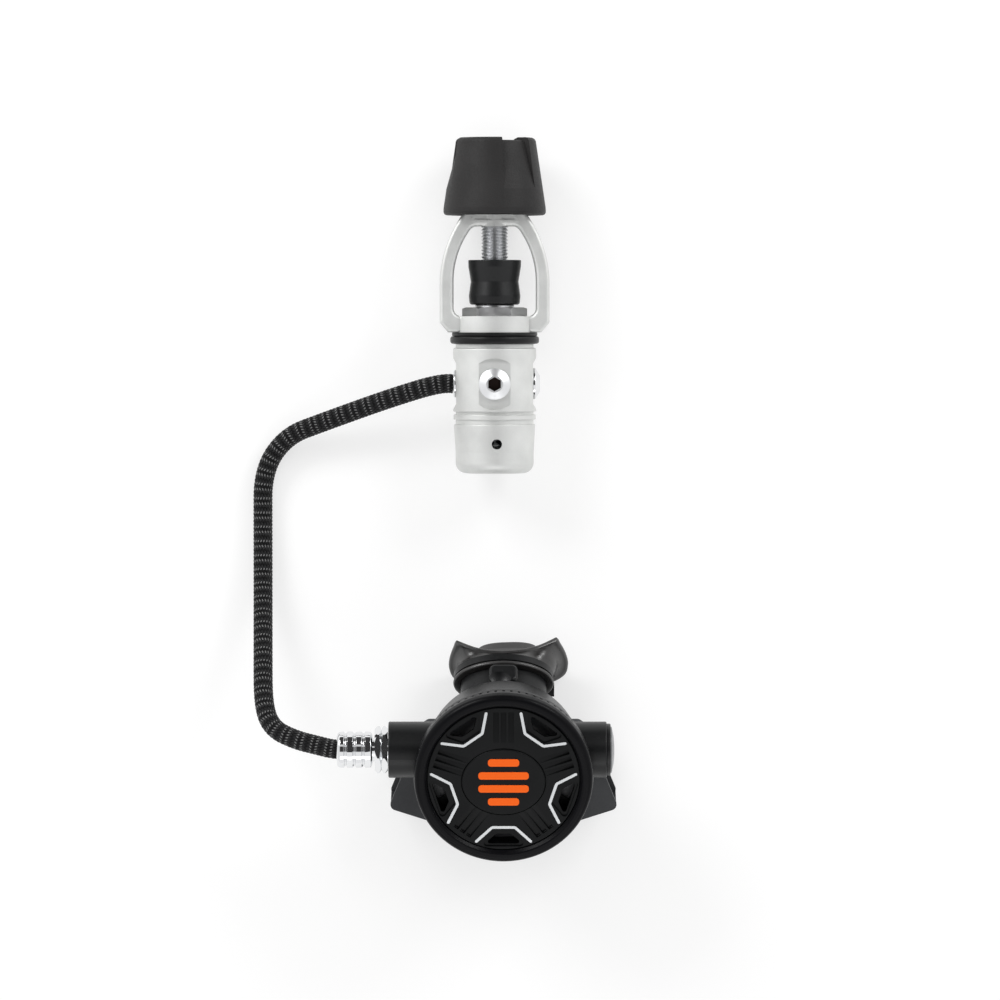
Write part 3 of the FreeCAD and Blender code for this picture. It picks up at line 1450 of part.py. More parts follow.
def make_grip_bars():
    """Four plain raised bars of two lengths on the button."""
    half_bar = S.bar_height / 2
    bars = []
    rows = ((1.5, 0.62), (0.5, 1.0), (-0.5, 1.0), (-1.5, 0.62))
    pitch = S.bar_pitch * 2 / 3
    for row, share in rows:
        half_length = S.bar_length * share / 2
        height = S.bar_height * 0.7 / 2
        middle = row * pitch
        corners = [
            (half_length, middle - height, height * 0.8),
            (half_length, middle + height, height * 0.8),
            (-1 * half_length, middle + height, height * 0.8),
            (-1 * half_length, middle - height, height * 0.8),
        ]
        bars.append(padded_outline("bar", corners, "XY_Plane", 0, S.bar_rise))
    stage = SECOND.inner(0, -S.button_drop, -S.button_front, 0)
    place(group(*bars), stage, "button_grip_bars")


def make_button_spring():
    back = -S.cover_front - S.cover_thickness - S.seat_gap * 2 - S.button_flange_height
    spring = coil(S.button_wire_radius, S.button_spring_radius, -S.clamp_bridge_front, back, 3)
    place(group(spring), SECOND.inner(0, 0, 0, 0), "button_spring")


def ledge():
    """Face in the case that carries the edge of the diaphragm."""
    return S.diaphragm_front + S.diaphragm_thickness


def make_clamp_ring():
    """Ring that clamps the diaphragm, with a three-legged bridge for the spring."""
    outer = S.rim_thread_radius - S.case_wall + S.thread_gap
    front = -S.front_ring_lip - S.cover_flange_thickness - 2 * S.seat_gap
    back = -S.diaphragm_front
    wall = turned("clamp_blank", [
        (S.clamp_inner_radius - 1.2, back),
        (outer - 2 * S.thread_gap, back),
        (outer - 2 * S.thread_gap, front),
        (S.clamp_inner_radius - 1.2, front),
    ])
    bridge_back = -S.clamp_bridge_front - S.clamp_bridge_height
    hub = rod(S.clamp_hub_radius, S.clamp_bridge_height, 0, 0, bridge_back)
    reach = S.clamp_inner_radius
    spokes = []
    for turn in (90, 210, 330):
        spoke = block(reach, S.clamp_bridge_width, S.clamp_bridge_height,
                      0, 0, bridge_back, (0, 0, 1), turn)
        side = S.clamp_bridge_width / 2
        spoke.setExpression("Placement.Base.x", (side * sine(turn)).text)
        spoke.setExpression("Placement.Base.y", (-side * cosine(turn)).text)
        spokes.append(spoke)
    hole = rod(S.button_stem_radius + S.running_gap * 4, 4, 0, 0, bridge_back - 1)
    place(cut(joined(wall, hub, *spokes), hole), SECOND, "diaphragm_clamp_ring")


def make_diaphragm():
    front = -S.diaphragm_front
    back = front - S.diaphragm_thickness
    outer = S.rim_thread_radius - S.case_wall - S.thread_gap
    fold = 25.0
    solid = turned("diaphragm_blank", [
        (0, back),
        (fold - 3, back),
        (fold, back - 1.4, 1.2),
        (fold + 3, back),
        (outer, back),
        (outer, front),
        (fold + 3, front),
        (fold, front - 1.4, 1.2),
        (fold - 3, front),
        (0, front),
    ])
    place(solid, SECOND, "diaphragm")
    plate_front = back - S.seat_gap
    solid = turned("plate_blank", [
        (0, plate_front - S.plate_thickness),
        (S.plate_radius, plate_front - S.plate_thickness, 0.3),
        (S.plate_radius, plate_front),
        (0, plate_front),
    ])
    place(solid, SECOND, "diaphragm_plate")


def case_back():
    return -S.case_depth


def make_case():
    rim_front = -S.front_ring_lip - S.cover_flange_thickness - 2 * S.seat_gap
    thread = S.rim_thread_radius - S.thread_gap
    inner_rim = S.rim_thread_radius - S.case_wall
    flange_front = -S.front_ring_depth
    inner = S.case_radius - S.case_wall
    shelf = -ledge()
    outer = turned("drum", [
        (0, rim_front),
        (thread, rim_front),
        (thread, flange_front),
        (S.case_flange_radius, flange_front, 0.4),
        (S.case_flange_radius, flange_front - S.case_flange_height, 0.4),
        (S.case_radius, flange_front - S.case_flange_height - 1),
        (S.case_back_radius, case_back(), S.case_corner),
        (0, case_back()),
    ])
    hollow = turned("hollow", [
        (0, rim_front + 1),
        (inner_rim, rim_front + 1),
        (inner_rim, shelf),
        (inner_rim - 2.6, shelf),
        (inner_rim - 2.6, shelf - 2),
        (inner, shelf - 5),
        (S.case_back_radius - S.case_wall, case_back() + S.case_wall, S.case_corner - S.case_wall),
        (0, case_back() + S.case_wall),
    ])
    axis = (0, S.inlet_y, -S.inlet_depth)
    start = S.case_back_radius - S.case_corner
    left = rod(S.boss_outer_radius, S.left_boss_end - start, -1 * start, axis[1], axis[2], "-X")
    right = rod(S.boss_outer_radius, S.right_boss_end - start, start, axis[1], axis[2], "+X")
    bosses = rounded(joined(left, right), 0.6, is_boss_end)
    mouth = (0, 0, -S.mouth_origin_depth)
    turn = S.mouth_angle - 180
    tube = joined(
        oval_bar(S.tube_half_width, S.tube_half_height, S.fairing_start, S.tube_end),
        oval_loft(
            (S.tube_half_width + S.fairing_widen, S.tube_half_height + S.fairing_widen,
             S.fairing_start),
            (S.tube_half_width, S.tube_half_height, S.fairing_end),
        ),
    )
    tube = in_frame(tube, mouth, turn)
    tube_bore = oval_bar(S.tube_half_width - S.tube_wall, S.tube_half_height - S.tube_wall,
                         S.tube_start, S.tube_end + 1)
    flow_hole = rod(S.flow_stem_radius + S.running_gap, S.tube_half_height + 4,
                    0, 0, S.flow_pivot, "-Y")
    mouth_tools = in_frame(joined(tube_bore, flow_hole), mouth, turn)
    barrel = rod(S.barrel_radius + S.thread_gap, S.left_boss_end - start + 12,
                 -1 * start + 12, axis[1], axis[2], "-X")
    counterbore = rod(S.barrel_flange_radius + S.thread_gap, S.barrel_flange_width + 1,
                      S.barrel_flange_width - S.left_boss_end, axis[1], axis[2], "-X")
    plug = rod(S.end_plug_radius, S.right_boss_end - start + 12, start - 10, axis[1], axis[2], "+X")
    holes = []
    count = int(S.exhaust_hole_count.value)
    for number in range(count):
        angle = 360 * number / count
        x = S.exhaust_ring_radius * cosine(angle)
        y = S.exhaust_ring_radius * sine(angle) - S.exhaust_y
        holes.append(rod(S.exhaust_hole_radius, S.case_wall + 2, x, y, case_back() - 1))
    stem_hole = rod(S.exhaust_stem_radius + S.seat_gap, S.case_wall + 2,
                    0, -S.exhaust_y, case_back() - 1)
    blank = cut(joined(outer, bosses, tube), hollow)
    blank = cut(blank, mouth_tools)
    blank = cut(blank, barrel, counterbore, plug)
    place(cut(blank, *holes, stem_hole), SECOND, "second_stage_case")


def is_boss_end(edge):
    box = edge.BoundBox
    ends = (-S.left_boss_end.value, S.right_boss_end.value)
    return box.XLength < 1e-3 and min(abs(box.XMin - end) for end in ends) < 1e-3


def make_inlet_barrel():
    """Metal barrel from the hose nut to the demand lever, bored for the valve."""
    face = -S.left_boss_end
    thread_end = face - S.inlet_thread_length
    flange = face + S.barrel_flange_width
    wall = S.barrel_end - S.barrel_wall
    stem_hole = S.poppet_stem_radius + S.running_gap
    solid = turned("barrel_blank", [
        (thread_end, S.barrel_bore),
        (thread_end, S.inlet_thread_radius, 0.4),
        (face, S.inlet_thread_radius),
        (face, S.barrel_flange_radius, 0.3),
        (flange, S.barrel_flange_radius),
        (flange, S.barrel_radius),
        (S.barrel_end, S.barrel_radius, 0.4),
        (S.barrel_end, stem_hole),
        (wall, stem_hole),
        (wall, S.barrel_bore),
    ], axis="H_Axis")
    outlet = rod(2.6, S.barrel_radius + 2, -S.orifice_face + 4, 0, 0, "-Z")
    place(cut(solid, outlet), INLET, "inlet_barrel")


def make_orifice():
    face = -S.orifice_face
    start = face - S.orifice_length
    outer = S.barrel_bore - S.running_gap
    groove = outer - 1.3
    middle = face - S.orifice_length / 2
    solid = turned("orifice_blank", [
        (start, S.orifice_bore + 0.8),
        (start, outer, 0.4),
        (middle - 0.8, outer),
        (middle - 0.8, groove),
        (middle + 0.8, groove),
        (middle + 0.8, outer),
        (face - 2.5, outer),
        (face, S.orifice_bore + 0.7),
        (face, S.orifice_bore),
        (start + 2, S.orifice_bore),
    ], axis="H_Axis")
    place(solid, INLET, "adjustable_orifice")
    orifice_ring = ring(S.barrel_bore - 0.7, 0.6, middle, 0, 0, "+X")
    spigot = -S.left_boss_end - S.inlet_thread_length + S.stem_spigot_length / 2
    stem_ring = ring(S.barrel_bore - 0.7, 0.6, spigot, 0, 0, "+X")
    place(group(orifice_ring), INLET, "orifice_o_ring")
    place(group(stem_ring), INLET, "hose_stem_o_ring")


def poppet_shoulder():
    return -S.orifice_face + S.seat_gap + S.poppet_length


def make_poppet():
    seat_face = -S.orifice_face + S.seat_gap
    front = seat_face + 0.3
    pocket_end = seat_face + S.poppet_seat_thickness
    shoulder = poppet_shoulder()
    solid = turned("poppet_blank", [
        (pocket_end, 0),
        (pocket_end, S.poppet_seat_radius + S.seat_gap),
        (front, S.poppet_seat_radius + S.seat_gap),
        (front, S.barrel_bore - S.running_gap, 0.2),
        (shoulder, S.barrel_bore - S.running_gap, 0.3),
        (shoulder, S.poppet_stem_radius),
        (S.poppet_stem_end, S.poppet_stem_radius, 0.5),
        (S.poppet_stem_end, 0),
    ], axis="H_Axis")
    flats = []
    for turn in range(0, 360, 90):
        flat = block(S.poppet_length + 2, 3, 6, seat_face - 1, -1.5, S.barrel_bore - 0.9)
        holder = group(flat)
        holder.Placement = Placement(Vector(), Rotation(Vector(1, 0, 0), turn + 45))
        flats.append(holder)
    place(cut(solid, *flats), INLET, "poppet")
    seat = turned("poppet_seat_blank", [
        (seat_face, 0),
        (seat_face, S.poppet_seat_radius),
        (pocket_end - S.seat_gap, S.poppet_seat_radius),
        (pocket_end - S.seat_gap, 0),
    ], axis="H_Axis")
    place(seat, INLET, "poppet_seat")


def make_poppet_spring():
    spring = coil(S.poppet_wire_radius, S.poppet_spring_radius, poppet_shoulder(),
                  S.barrel_end - S.barrel_wall, 7, along="+X")
    place(group(spring), INLET, "poppet_spring")


def lever_pivot_height():
    """Pivot of the lever over the inlet's axis."""
    return S.barrel_radius + S.lever_pivot_drop


def make_demand_lever():
    """Bent strip: a forked foot behind the nut and an arm up to the diaphragm's plate."""
    pivot = lever_pivot_height()
    thickness = S.lever_thickness
    foot_x = S.barrel_end + S.seat_gap
    plate_back = S.inlet_depth - ledge() - S.seat_gap - S.plate_thickness
    tip_top = plate_back - 0.3
    tip_x = S.barrel_end - S.lever_reach
    foot_bottom = pivot - S.lever_foot_length
    corners = [
        (foot_x, foot_bottom),
        (foot_x + thickness, foot_bottom),
        (foot_x + thickness, pivot + thickness),
        (tip_x, tip_top, 0.4),
        (tip_x, tip_top - thickness, 0.4),
        (foot_x, pivot),
    ]
    half = S.lever_width / 2
    strip = padded_outline("lever", corners, "XZ_Plane", -half, S.lever_width)
    fork = block(8, S.lever_slot_width, S.lever_foot_length,
                 S.barrel_end - 2, -S.lever_slot_width / 2, foot_bottom - 1)
    place(cut(strip, fork), INLET, "demand_lever")


def make_lever_nut():
    start = S.barrel_end + S.seat_gap + S.lever_thickness + 0.1
    nut = cut(hexagon(S.nut_flats, S.nut_height, start, 0, 0, "+X"),
              rod(S.poppet_stem_radius + S.seat_gap, S.nut_height + 2, start - 1, 0, 0, "+X"))
    place(nut, INLET, "lever_nut")


def make_end_plug():
    face = S.right_boss_end
    start = face - S.end_plug_length
    bore = S.end_plug_radius - S.thread_gap
    hollow = bore - 2
    solid = turned("end_plug_blank", [
        (start, hollow),
        (start, bore, 0.5),
        (face, bore),
        (face, S.end_flange_radius, 0.3),
        (face + S.end_flange_height, S.end_flange_radius, 0.5),
        (face + S.end_flange_height, 0),
        (face - 1.5, 0),
        (face - 1.5, hollow),
    ], axis="H_Axis")
    place(solid, INLET, "end_plug")
    base = face + S.end_flange_height
    body = new_body("dome")
    sketch = new_sketch(body, "XZ_Plane")
    draw_outline(sketch, [
        (base, 0),
        (base, S.dome_radius),
        (base + 0.5, S.dome_radius - 0.1, 0.3),
        (base + S.dome_height * 0.8, S.dome_radius * 0.6, 6),
        (base + S.dome_height, S.dome_radius * 0.2),
        (base + S.dome_height, 0),
    ])
    feature = body.newObject("PartDesign::Revolution", "turned")
    feature.Profile = sketch
    feature.ReferenceAxis = (sketch, ["H_Axis"])
    feature.Angle = 360
    place(body, INLET, "end_plug_dome")


def make_exhaust_valve():
    """Mushroom valve over the holes, with its stem through the case."""
    back = case_back()
    radius = S.exhaust_valve_radius
    thickness = S.exhaust_valve_thickness
    inside = back + S.case_wall
    neck = S.exhaust_stem_radius
    solid = turned("valve_blank", [
        (0, back - thickness),
        (radius, back - thickness, 0.2),
        (radius, back - 0.3),
        (radius - 3, back),
        (neck, back),
        (neck, inside + S.seat_gap),
        (neck + 0.6, inside + S.seat_gap, 0.2),
        (neck + 0.4, inside + 1.4, 0.4),
        (0, inside + 2.2),
    ])
    place(solid, SECOND.inner(0, -S.exhaust_y, 0, 0), "exhaust_valve")


def tee_outline(inset):
    """Outline of the tee from the front, drawn in by a distance; open past its mouths."""
    mouth = 0 if inset == 0 else 3
    right = [
        (S.tee_bottom_half, -S.tee_bottom + inset),
        (S.tee_half_width + mouth, -S.tee_low + inset),
        (S.tee_top_half_width + mouth, S.tee_mouth_top - inset),
        (S.tee_shoulder_half, S.tee_top - inset),
        (S.tee_notch_half + inset, S.tee_top - inset),
        (S.tee_notch_half + inset, -S.tee_notch_y - inset),
    ]
    return mirrored(right)


def make_exhaust_tee():
    outside = tee_outline(0)
    for number in (1, -2):
        outside[number] = (*outside[number], S.tee_low_corner)
    for number in (2, 3, -3, -4):
        outside[number] = (*outside[number], S.tee_top_corner)
    height = S.tee_back - S.tee_front
    shell = padded_outline("tee_shell", outside, "XY_Plane", -S.tee_back, height)
    shell = rounded(shell, S.tee_rounding, is_tee_bottom_edge)
    room = padded_outline("tee_room", tee_outline(S.tee_wall), "XY_Plane",
                          -S.tee_back + S.tee_wall, height - 2 * S.tee_wall)
    back = case_back() - S.seat_gap
    collar = rod(S.tee_collar_radius, S.tee_front + back + 0.4, 0, -S.exhaust_y, -S.tee_front - 0.4)
    bore = rod(S.exhaust_valve_radius + 0.6, S.tee_front + back + S.tee_wall + 2,
               0, -S.exhaust_y, -S.tee_front - S.tee_wall - 1)
    place(cut(joined(shell, collar), room, bore), SECOND, "exhaust_tee")


def is_tee_bottom_edge(edge):
    """The long lower edges of the tee's back, which lie on the table."""
    box = edge.BoundBox
    at_back = abs(box.ZMin + S.tee_back.value) < 1e-3 and box.ZLength < 1e-3
    low = box.YMax < -S.tee_low.value + 1.5
    return at_back and low


# Mouthpiece, drawn along its tube

def bite_bottom():
    """Depth of the bite tabs below the tube's axis that just reaches the table."""
    tilt = S.second_stage_tilt
    slope = tilt + S.mouth_angle
    edge = S.bite_rounding
    start = second_stage_height() - S.mouth_origin_depth * cosine(tilt)
    drop = start - (S.bite_end - edge) * cosine(slope) - edge - S.seat_gap
    return drop / sine(slope) + edge


def make_mouthpiece():
    inner_width = S.tube_half_width + S.seat_gap
    inner_height = S.tube_half_height + S.seat_gap
    outer_width = inner_width + S.sleeve_wall
    outer_height = inner_height + S.sleeve_wall
    sleeve = joined(
        oval_bar(outer_width, outer_height, S.sleeve_start, S.tube_end + S.seat_gap),
        oval_loft(
            (outer_width, outer_height, S.tube_end + S.seat_gap),
            (S.neck_half_width, S.neck_half_height, S.flange_centre + 1),
        ),
    )
    lip = oval_bar(outer_width + S.sleeve_lip, outer_height + S.sleeve_lip,
                   S.sleeve_start, S.sleeve_start + S.sleeve_lip_length)
    spout = oval_bar(S.spout_half_width, S.spout_half_height, S.flange_centre, S.spout_end)
    flange_back = S.flange_centre + S.flange_thickness
    half = S.flange_half_width
    # Height above the axis is drawn as minus Y
    plan = mirrored([
        (half - 13, S.flange_lower, 6),
        (half - 2.4, S.flange_lower - 2, 4),
        (half, S.flange_widest, 8),
        (S.flange_ear_half, -S.flange_upper, 1.6),
    ])
    dip = (0, -S.flange_dip, 40)
    plan.insert(4, dip)
    plate = padded_outline("flange", plan, "XY_Plane", S.flange_centre - 4, 24)
    bend = S.flange_bend_radius
    outside = rod(bend, 60, 0, -30, S.flange_centre + bend, "+Y")
    inside = rod(bend - S.flange_thickness, 62, 0, -31, S.flange_centre + bend, "+Y")
    flange = shared(plate, cut(outside, inside))
    tabs = []
    low = bite_bottom()
    width = S.bite_outer - S.bite_inner
    for left in (S.bite_inner, -S.bite_outer):
        tab = block(width, S.bite_thickness, S.bite_end - S.flange_centre,
                    left, low - S.bite_thickness - 1.2, S.flange_centre)
        ridge = block(width, S.bite_ridge, 2.6, left, low - S.bite_ridge, S.bite_end - 2.6)
        tabs += [tab, rounded(ridge, S.bite_rounding, lambda edge: edge.BoundBox.XLength > 2)]
    airway = oval_bar(S.spout_half_width - S.spout_wall, S.spout_half_height - S.spout_wall,
                      S.sleeve_start, S.spout_end + 1)
    socket = oval_bar(inner_width, inner_height, S.sleeve_start - 1, S.tube_end + S.seat_gap)
    solid = joined(sleeve, lip, spout, flange, *tabs)
    place(cut(solid, airway, socket), MOUTH, "mouthpiece")


def make_mouthpiece_strap():
    """Tie round the sleeve, with its head at the lower right."""
    gap = S.seat_gap
    inner_width = S.tube_half_width + S.sleeve_wall + 2 * gap
    inner_height = S.tube_half_height + S.sleeve_wall + 2 * gap
    end = S.strap_start + S.strap_width
    band = oval_bar(inner_width + S.strap_thickness, inner_height + S.strap_thickness,
                    S.strap_start, end)
    head = block(S.strap_head, S.strap_head, S.strap_width + 0.8,
                 inner_width - 3.4, inner_height * 0.45, S.strap_start - 0.4)
    hole = oval_bar(inner_width, inner_height, S.strap_start - 1, end + 1)
    place(cut(joined(band, head), hole), MOUTH, "mouthpiece_strap")


def make_airflow_lever():
    """Finger lever on the tube, whose stem turns a vane in the airway."""
    top = S.tube_half_height + 0.4
    half = S.flow_head_width / 2
    corner = S.flow_head_corner
    head = padded_outline("lever_head", [
        (half, -S.flow_head_back, corner),
        (half, S.flow_head_front, corner),
        (-1 * half, S.flow_head_front, corner),
        (-1 * half, -S.flow_head_back, corner),
    ], "XZ_Plane", top, S.flow_head_height)
    head = rounded(head, 1.6, lambda edge: edge.BoundBox.YMax < -top.value - 1)
    hollow = DOCUMENT.addObject("Part::Sphere", "finger_hollow")
    hollow.Radius = 8
    set_place(hollow, -2, -1 * top - S.flow_head_height - 5.4, -S.flow_head_back - 1)
    head = cut(head, hollow)
    vane_top = S.tube_half_height - S.tube_wall - 1.2
    stem = rod(S.flow_stem_radius, top - vane_top + 1.2, 0, -1 * vane_top + 0.6, 0, "-Y")
    vane = block(S.flow_vane_thickness, S.flow_vane_height, S.flow_vane_length,
                 -S.flow_vane_thickness / 2, -1 * vane_top, -S.flow_vane_length / 2)
    lever = joined(head, stem, vane)
    stage = SECOND.inner(
        0,
        S.flow_pivot * sine(S.mouth_angle),
        -S.mouth_origin_depth - S.flow_pivot * cosine(S.mouth_angle),
        S.mouth_angle - 180,
    )
    place(lever, stage, "airflow_lever")


# Hose and its fittings, the stem and the ferrule drawn along the inlet's axis

def make_swivel_nut():
    start = -S.nut_inner_end
    end = start - S.swivel_nut_length
    bore = S.inlet_thread_radius + S.thread_gap
    lip_start = end + S.swivel_lip
    flats = S.swivel_nut_flats
    bar = hexagon(flats, S.swivel_nut_length, start, 0, 0, "-X")
    corner = S.swivel_nut_flats / (2 * cosine(30))
    middle = start - S.swivel_nut_length / 2
    bevel = turned("nut_bevel", [
        (start, 0),
        (start, corner - 1.3),
        (start - 1.3, corner),
        (middle + 0.8, corner),
        (middle, corner - 1.8),
        (middle - 0.8, corner),
        (end + 1.3, corner),
        (end, corner - 1.3),
        (end, 0),
    ], axis="H_Axis")
    thread = rod(bore, lip_start * -1 + start + 1, start + 1, 0, 0, "-X")
    hole = rod(S.stem_neck_radius + S.thread_gap, S.swivel_nut_length + 2, start + 1, 0, 0, "-X")
    place(cut(shared(bar, bevel), thread, hole), INLET, "hose_swivel_nut")


def stem_face():
    """Face of the stem's collar against the end of the inlet thread."""
    return -S.left_boss_end - S.inlet_thread_length - S.seat_gap


def make_hose_stem():
    face = stem_face()
    nut_end = -S.nut_inner_end - S.swivel_nut_length
    collar_end = nut_end + S.swivel_lip + S.seat_gap
    spigot = S.barrel_bore - S.running_gap
    groove = spigot - 1.3
    middle = -S.left_boss_end - S.inlet_thread_length + S.stem_spigot_length / 2
    ferrule = -S.ferrule_start
    solid = turned("stem_blank", [
        (face + S.stem_spigot_length, 2.2),
        (face + S.stem_spigot_length, spigot, 0.3),
        (middle + 0.7, spigot),
        (middle + 0.7, groove),
        (middle - 0.7, groove),
        (middle - 0.7, spigot),
        (face, spigot),
        (face, S.stem_collar_radius),
        (collar_end, S.stem_collar_radius),
        (collar_end, S.stem_neck_radius),
        (ferrule, S.stem_neck_radius),
        (ferrule, 2.2),
    ], axis="H_Axis")
    place(solid, INLET, "hose_stem")


def ferrule_end():
    return -S.ferrule_start - S.ferrule_length


def make_hose_ferrule():
    """Crimped sleeve of four bands, alternately round and flatted."""
    start = -S.ferrule_start
    end = ferrule_end()
    count = int(S.ferrule_band_count.value)
    pitch = S.ferrule_length / count
    groove = S.ferrule_groove
    radius = S.ferrule_radius
    corners = [(start, 0), (start, radius - 1.4), (start - 0.7, radius - 0.1, 0.4)]
    for number in range(1, count):
        middle = start - number * pitch
        corners.append((middle + groove, radius, 0.3))
        corners.append((middle, radius - groove, 0.3))
        corners.append((middle - groove, radius, 0.3))
    corners += [(end, radius, 2.0), (end, 0)]
    solid = turned("ferrule_blank", corners, axis="H_Axis")
    flats = []
    for number in (0, 2):
        band_end = start - (number + 1) * pitch + groove
        band = hexagon(radius * 2 - 0.7, pitch - 2 * groove, band_end, 0, 0, "+X")
        shell = rod(radius + 3, pitch - 2 * groove, band_end, 0, 0, "+X")
        flats.append(cut(shell, band))
    place(cut(solid, *flats), INLET, "hose_ferrule")


# Points of the hose between its two ends, on the table and up to the second stage
HOSE_POINTS = [
    (-52.0, 44.4, 17.2),
    (-79.3, 34.6, 10.8),
    (-96.6, 28.4, 7.4),
    (-106.9, 13.0, 4.8),
    (-107.2, -12.0, 4.5),
    (-106.8, -42.0, 8.3),
    (-106.6, -70.0, 23.0),
    (-106.5, -88.0, 33.8),
    (-103.2, -99.4, 40.8),
    (-94.6, -108.0, 45.1),
]
HOSE_FIRST_RUN = 11.0
HOSE_LAST_RUN = 11.7
ARC_SHARE = 0.45


def hose_route():
    """Points of the hose from the first stage's port to the ferrule."""
    port = FIRST.point(-S.port_face - S.fitting_height, 0, S.port_height)
    crimp = INLET.point(ferrule_end(), 0, 0)
    first = Vector(*[size.value for size in port])
    last = Vector(*[size.value for size in crimp])
    after_first = first - Vector(HOSE_FIRST_RUN, 0, 0)
    before_last = last - Vector(HOSE_LAST_RUN, 0, 0)
    middle = [Vector(*point) for point in HOSE_POINTS]
    return [first, after_first, *middle, before_last, last]


def hose_path(points):
    """Straight runs joined by tangent arcs, each as large as its runs allow."""
    edges = []
    radii = []
    position = points[0]
    for before, corner, after in zip(points, points[1:], points[2:]):
        into = corner - before
        out_of = after - corner
        turn = into.getAngle(out_of)
        along = ARC_SHARE * min(into.Length, out_of.Length)
        radii.append(along / math.tan(turn / 2))
        first, middle, last, _ = corner_arc(before, corner, after, radii[-1])
        edges.append(Part.LineSegment(position, first).toShape())
        edges.append(Part.Arc(first, middle, last).toShape())
        position = last
    edges.append(Part.LineSegment(position, points[-1]).toShape())
    return Part.Wire(edges), radii


def make_hose():
    path, radii = hose_path(hose_route())
    start = path.Vertexes[0].Point
    circle = Part.Wire(Part.Circle(start, Vector(1, 0, 0), S.hose_radius.value).toShape())
    pipe = path.makePipeShell([circle], True, False)
    feature = DOCUMENT.addObject("Part::Feature", "hose_tube")
    feature.Shape = pipe
    place(feature, SET, "hose")
    expected = math.pi * S.hose_radius.value ** 2 * path.Length
    print("hose length", round(path.Length, 1))
    print("hose bend radii", [round(radius, 1) for radius in radii])
    print("hose volume over section times length", round(pipe.Volume / expected, 4))


def make_first_stage():
    make_first_stage_body()
    make_piston_cap()
    make_piston()
    make_high_pressure_seat()
    make_piston_rings()
    make_piston_spring()
    make_neck_rings()
    make_port_plugs()
    make_port_rings()
    make_hose_port_fitting()
    make_yoke()
    make_yoke_retainer()
    make_dust_cap()
    make_screw_tip_pad()
    make_yoke_screw()
    make_knob_core()
    make_knob()


def make_second_stage():
    make_front_ring()
    make_purge_cover()
    make_trim_strips()
    make_purge_button()
    make_grip_bars()
    make_button_spring()
    make_clamp_ring()
    make_diaphragm()
    make_case()
    make_inlet_barrel()
    make_orifice()
    make_poppet()
    make_poppet_spring()
    make_demand_lever()
    make_lever_nut()
    make_end_plug()
    make_exhaust_valve()
    make_exhaust_tee()
    make_mouthpiece()
    make_mouthpiece_strap()
    make_airflow_lever()


def make_hose_and_fittings():
    make_swivel_nut()
    make_hose_stem()
    make_hose_ferrule()
    make_hose()


def check_document():
    """Stops when any object failed, or any piece has no sound solid."""
    problems = []
    for item in DOCUMENT.Objects:
        bad = [word for word in item.State if word in ("Invalid", "Error")]
        if bad:
            users = [user.Label for user in item.InListRecursive]
            problems.append(f"{item.Name}: {bad}, used by {users[-1:]}")
    for name, piece in PIECES.items():
        shape = piece.Shape
        if shape.isNull() or not shape.Solids or not shape.isValid():
            problems.append(f"{name} has no sound solid")
    if problems:
        raise RuntimeError("; ".join(problems))


def write_pieces():
    os.makedirs("parts", exist_ok=True)
    for name, piece in PIECES.items():
        piece.Shape.exportStep(f"parts/{name}.step")
    print(len(PIECES), "pieces")


make_first_stage()
make_second_stage()
make_hose_and_fittings()
DOCUMENT.recompute()
check_document()
write_pieces()
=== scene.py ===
import math

import bmesh
import bpy
import numpy
from mathutils import Matrix, Vector


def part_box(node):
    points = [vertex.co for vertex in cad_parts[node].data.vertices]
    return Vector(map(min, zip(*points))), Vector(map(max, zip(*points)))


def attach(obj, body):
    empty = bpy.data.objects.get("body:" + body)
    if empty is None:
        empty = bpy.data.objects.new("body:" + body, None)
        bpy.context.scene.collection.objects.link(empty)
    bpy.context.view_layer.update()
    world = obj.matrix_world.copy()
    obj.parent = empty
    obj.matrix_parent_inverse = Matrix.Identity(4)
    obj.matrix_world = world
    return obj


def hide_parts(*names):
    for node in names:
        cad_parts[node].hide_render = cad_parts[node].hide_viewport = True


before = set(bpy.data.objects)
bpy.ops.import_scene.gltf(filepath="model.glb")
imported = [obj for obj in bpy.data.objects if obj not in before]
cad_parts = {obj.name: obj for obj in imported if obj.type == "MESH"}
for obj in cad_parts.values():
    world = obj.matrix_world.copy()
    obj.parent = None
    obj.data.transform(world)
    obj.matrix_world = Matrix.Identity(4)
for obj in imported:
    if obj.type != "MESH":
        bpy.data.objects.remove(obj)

MM = 0.001
WHOLE_TURN = 2 * math.pi

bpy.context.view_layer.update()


# Small helpers

def linear(colour):
    """An sRGB hex value as the linear colour that a shader takes."""
    parts = [int(colour[place:place + 2], 16) / 255 for place in (1, 3, 5)]
    curve = [part / 12.92 if part <= 0.04045 else ((part + 0.055) / 1.055) ** 2.4 for part in parts]
    return (*curve, 1.0)


def add(tree, kind, inputs=None, **settings):
    """Adds one node, with its settings, values and links."""
    node = tree.nodes.new(kind)
    for name, value in settings.items():
        setattr(node, name, value)
    for name, value in (inputs or {}).items():
        socket = node.inputs[name]
        if isinstance(value, bpy.types.NodeSocket):
            tree.links.new(value, socket)
        else:
            socket.default_value = value
    return node


def maths(tree, operation, *values):
    """The result of one arithmetic node."""
    node = add(tree, "ShaderNodeMath", dict(enumerate(values)), operation=operation)
    return node.outputs["Value"]


def grey(tone):
    """A neutral colour."""
    return (tone, tone, tone, 1.0)


def new_finish(name, colour, roughness, metallic=0.0, level=0.5):
    """A material with its plain values set on the shader itself."""
    finish = bpy.data.materials.new(name)
    finish.use_nodes = True
    shader = finish.node_tree.nodes["Principled BSDF"]
    shader.inputs["Base Color"].default_value = linear(colour)
    shader.inputs["Roughness"].default_value = roughness
    shader.inputs["Metallic"].default_value = metallic
    shader.inputs["Specular IOR Level"].default_value = level
    finish.diffuse_color = linear(colour)
    return finish, finish.node_tree, shader


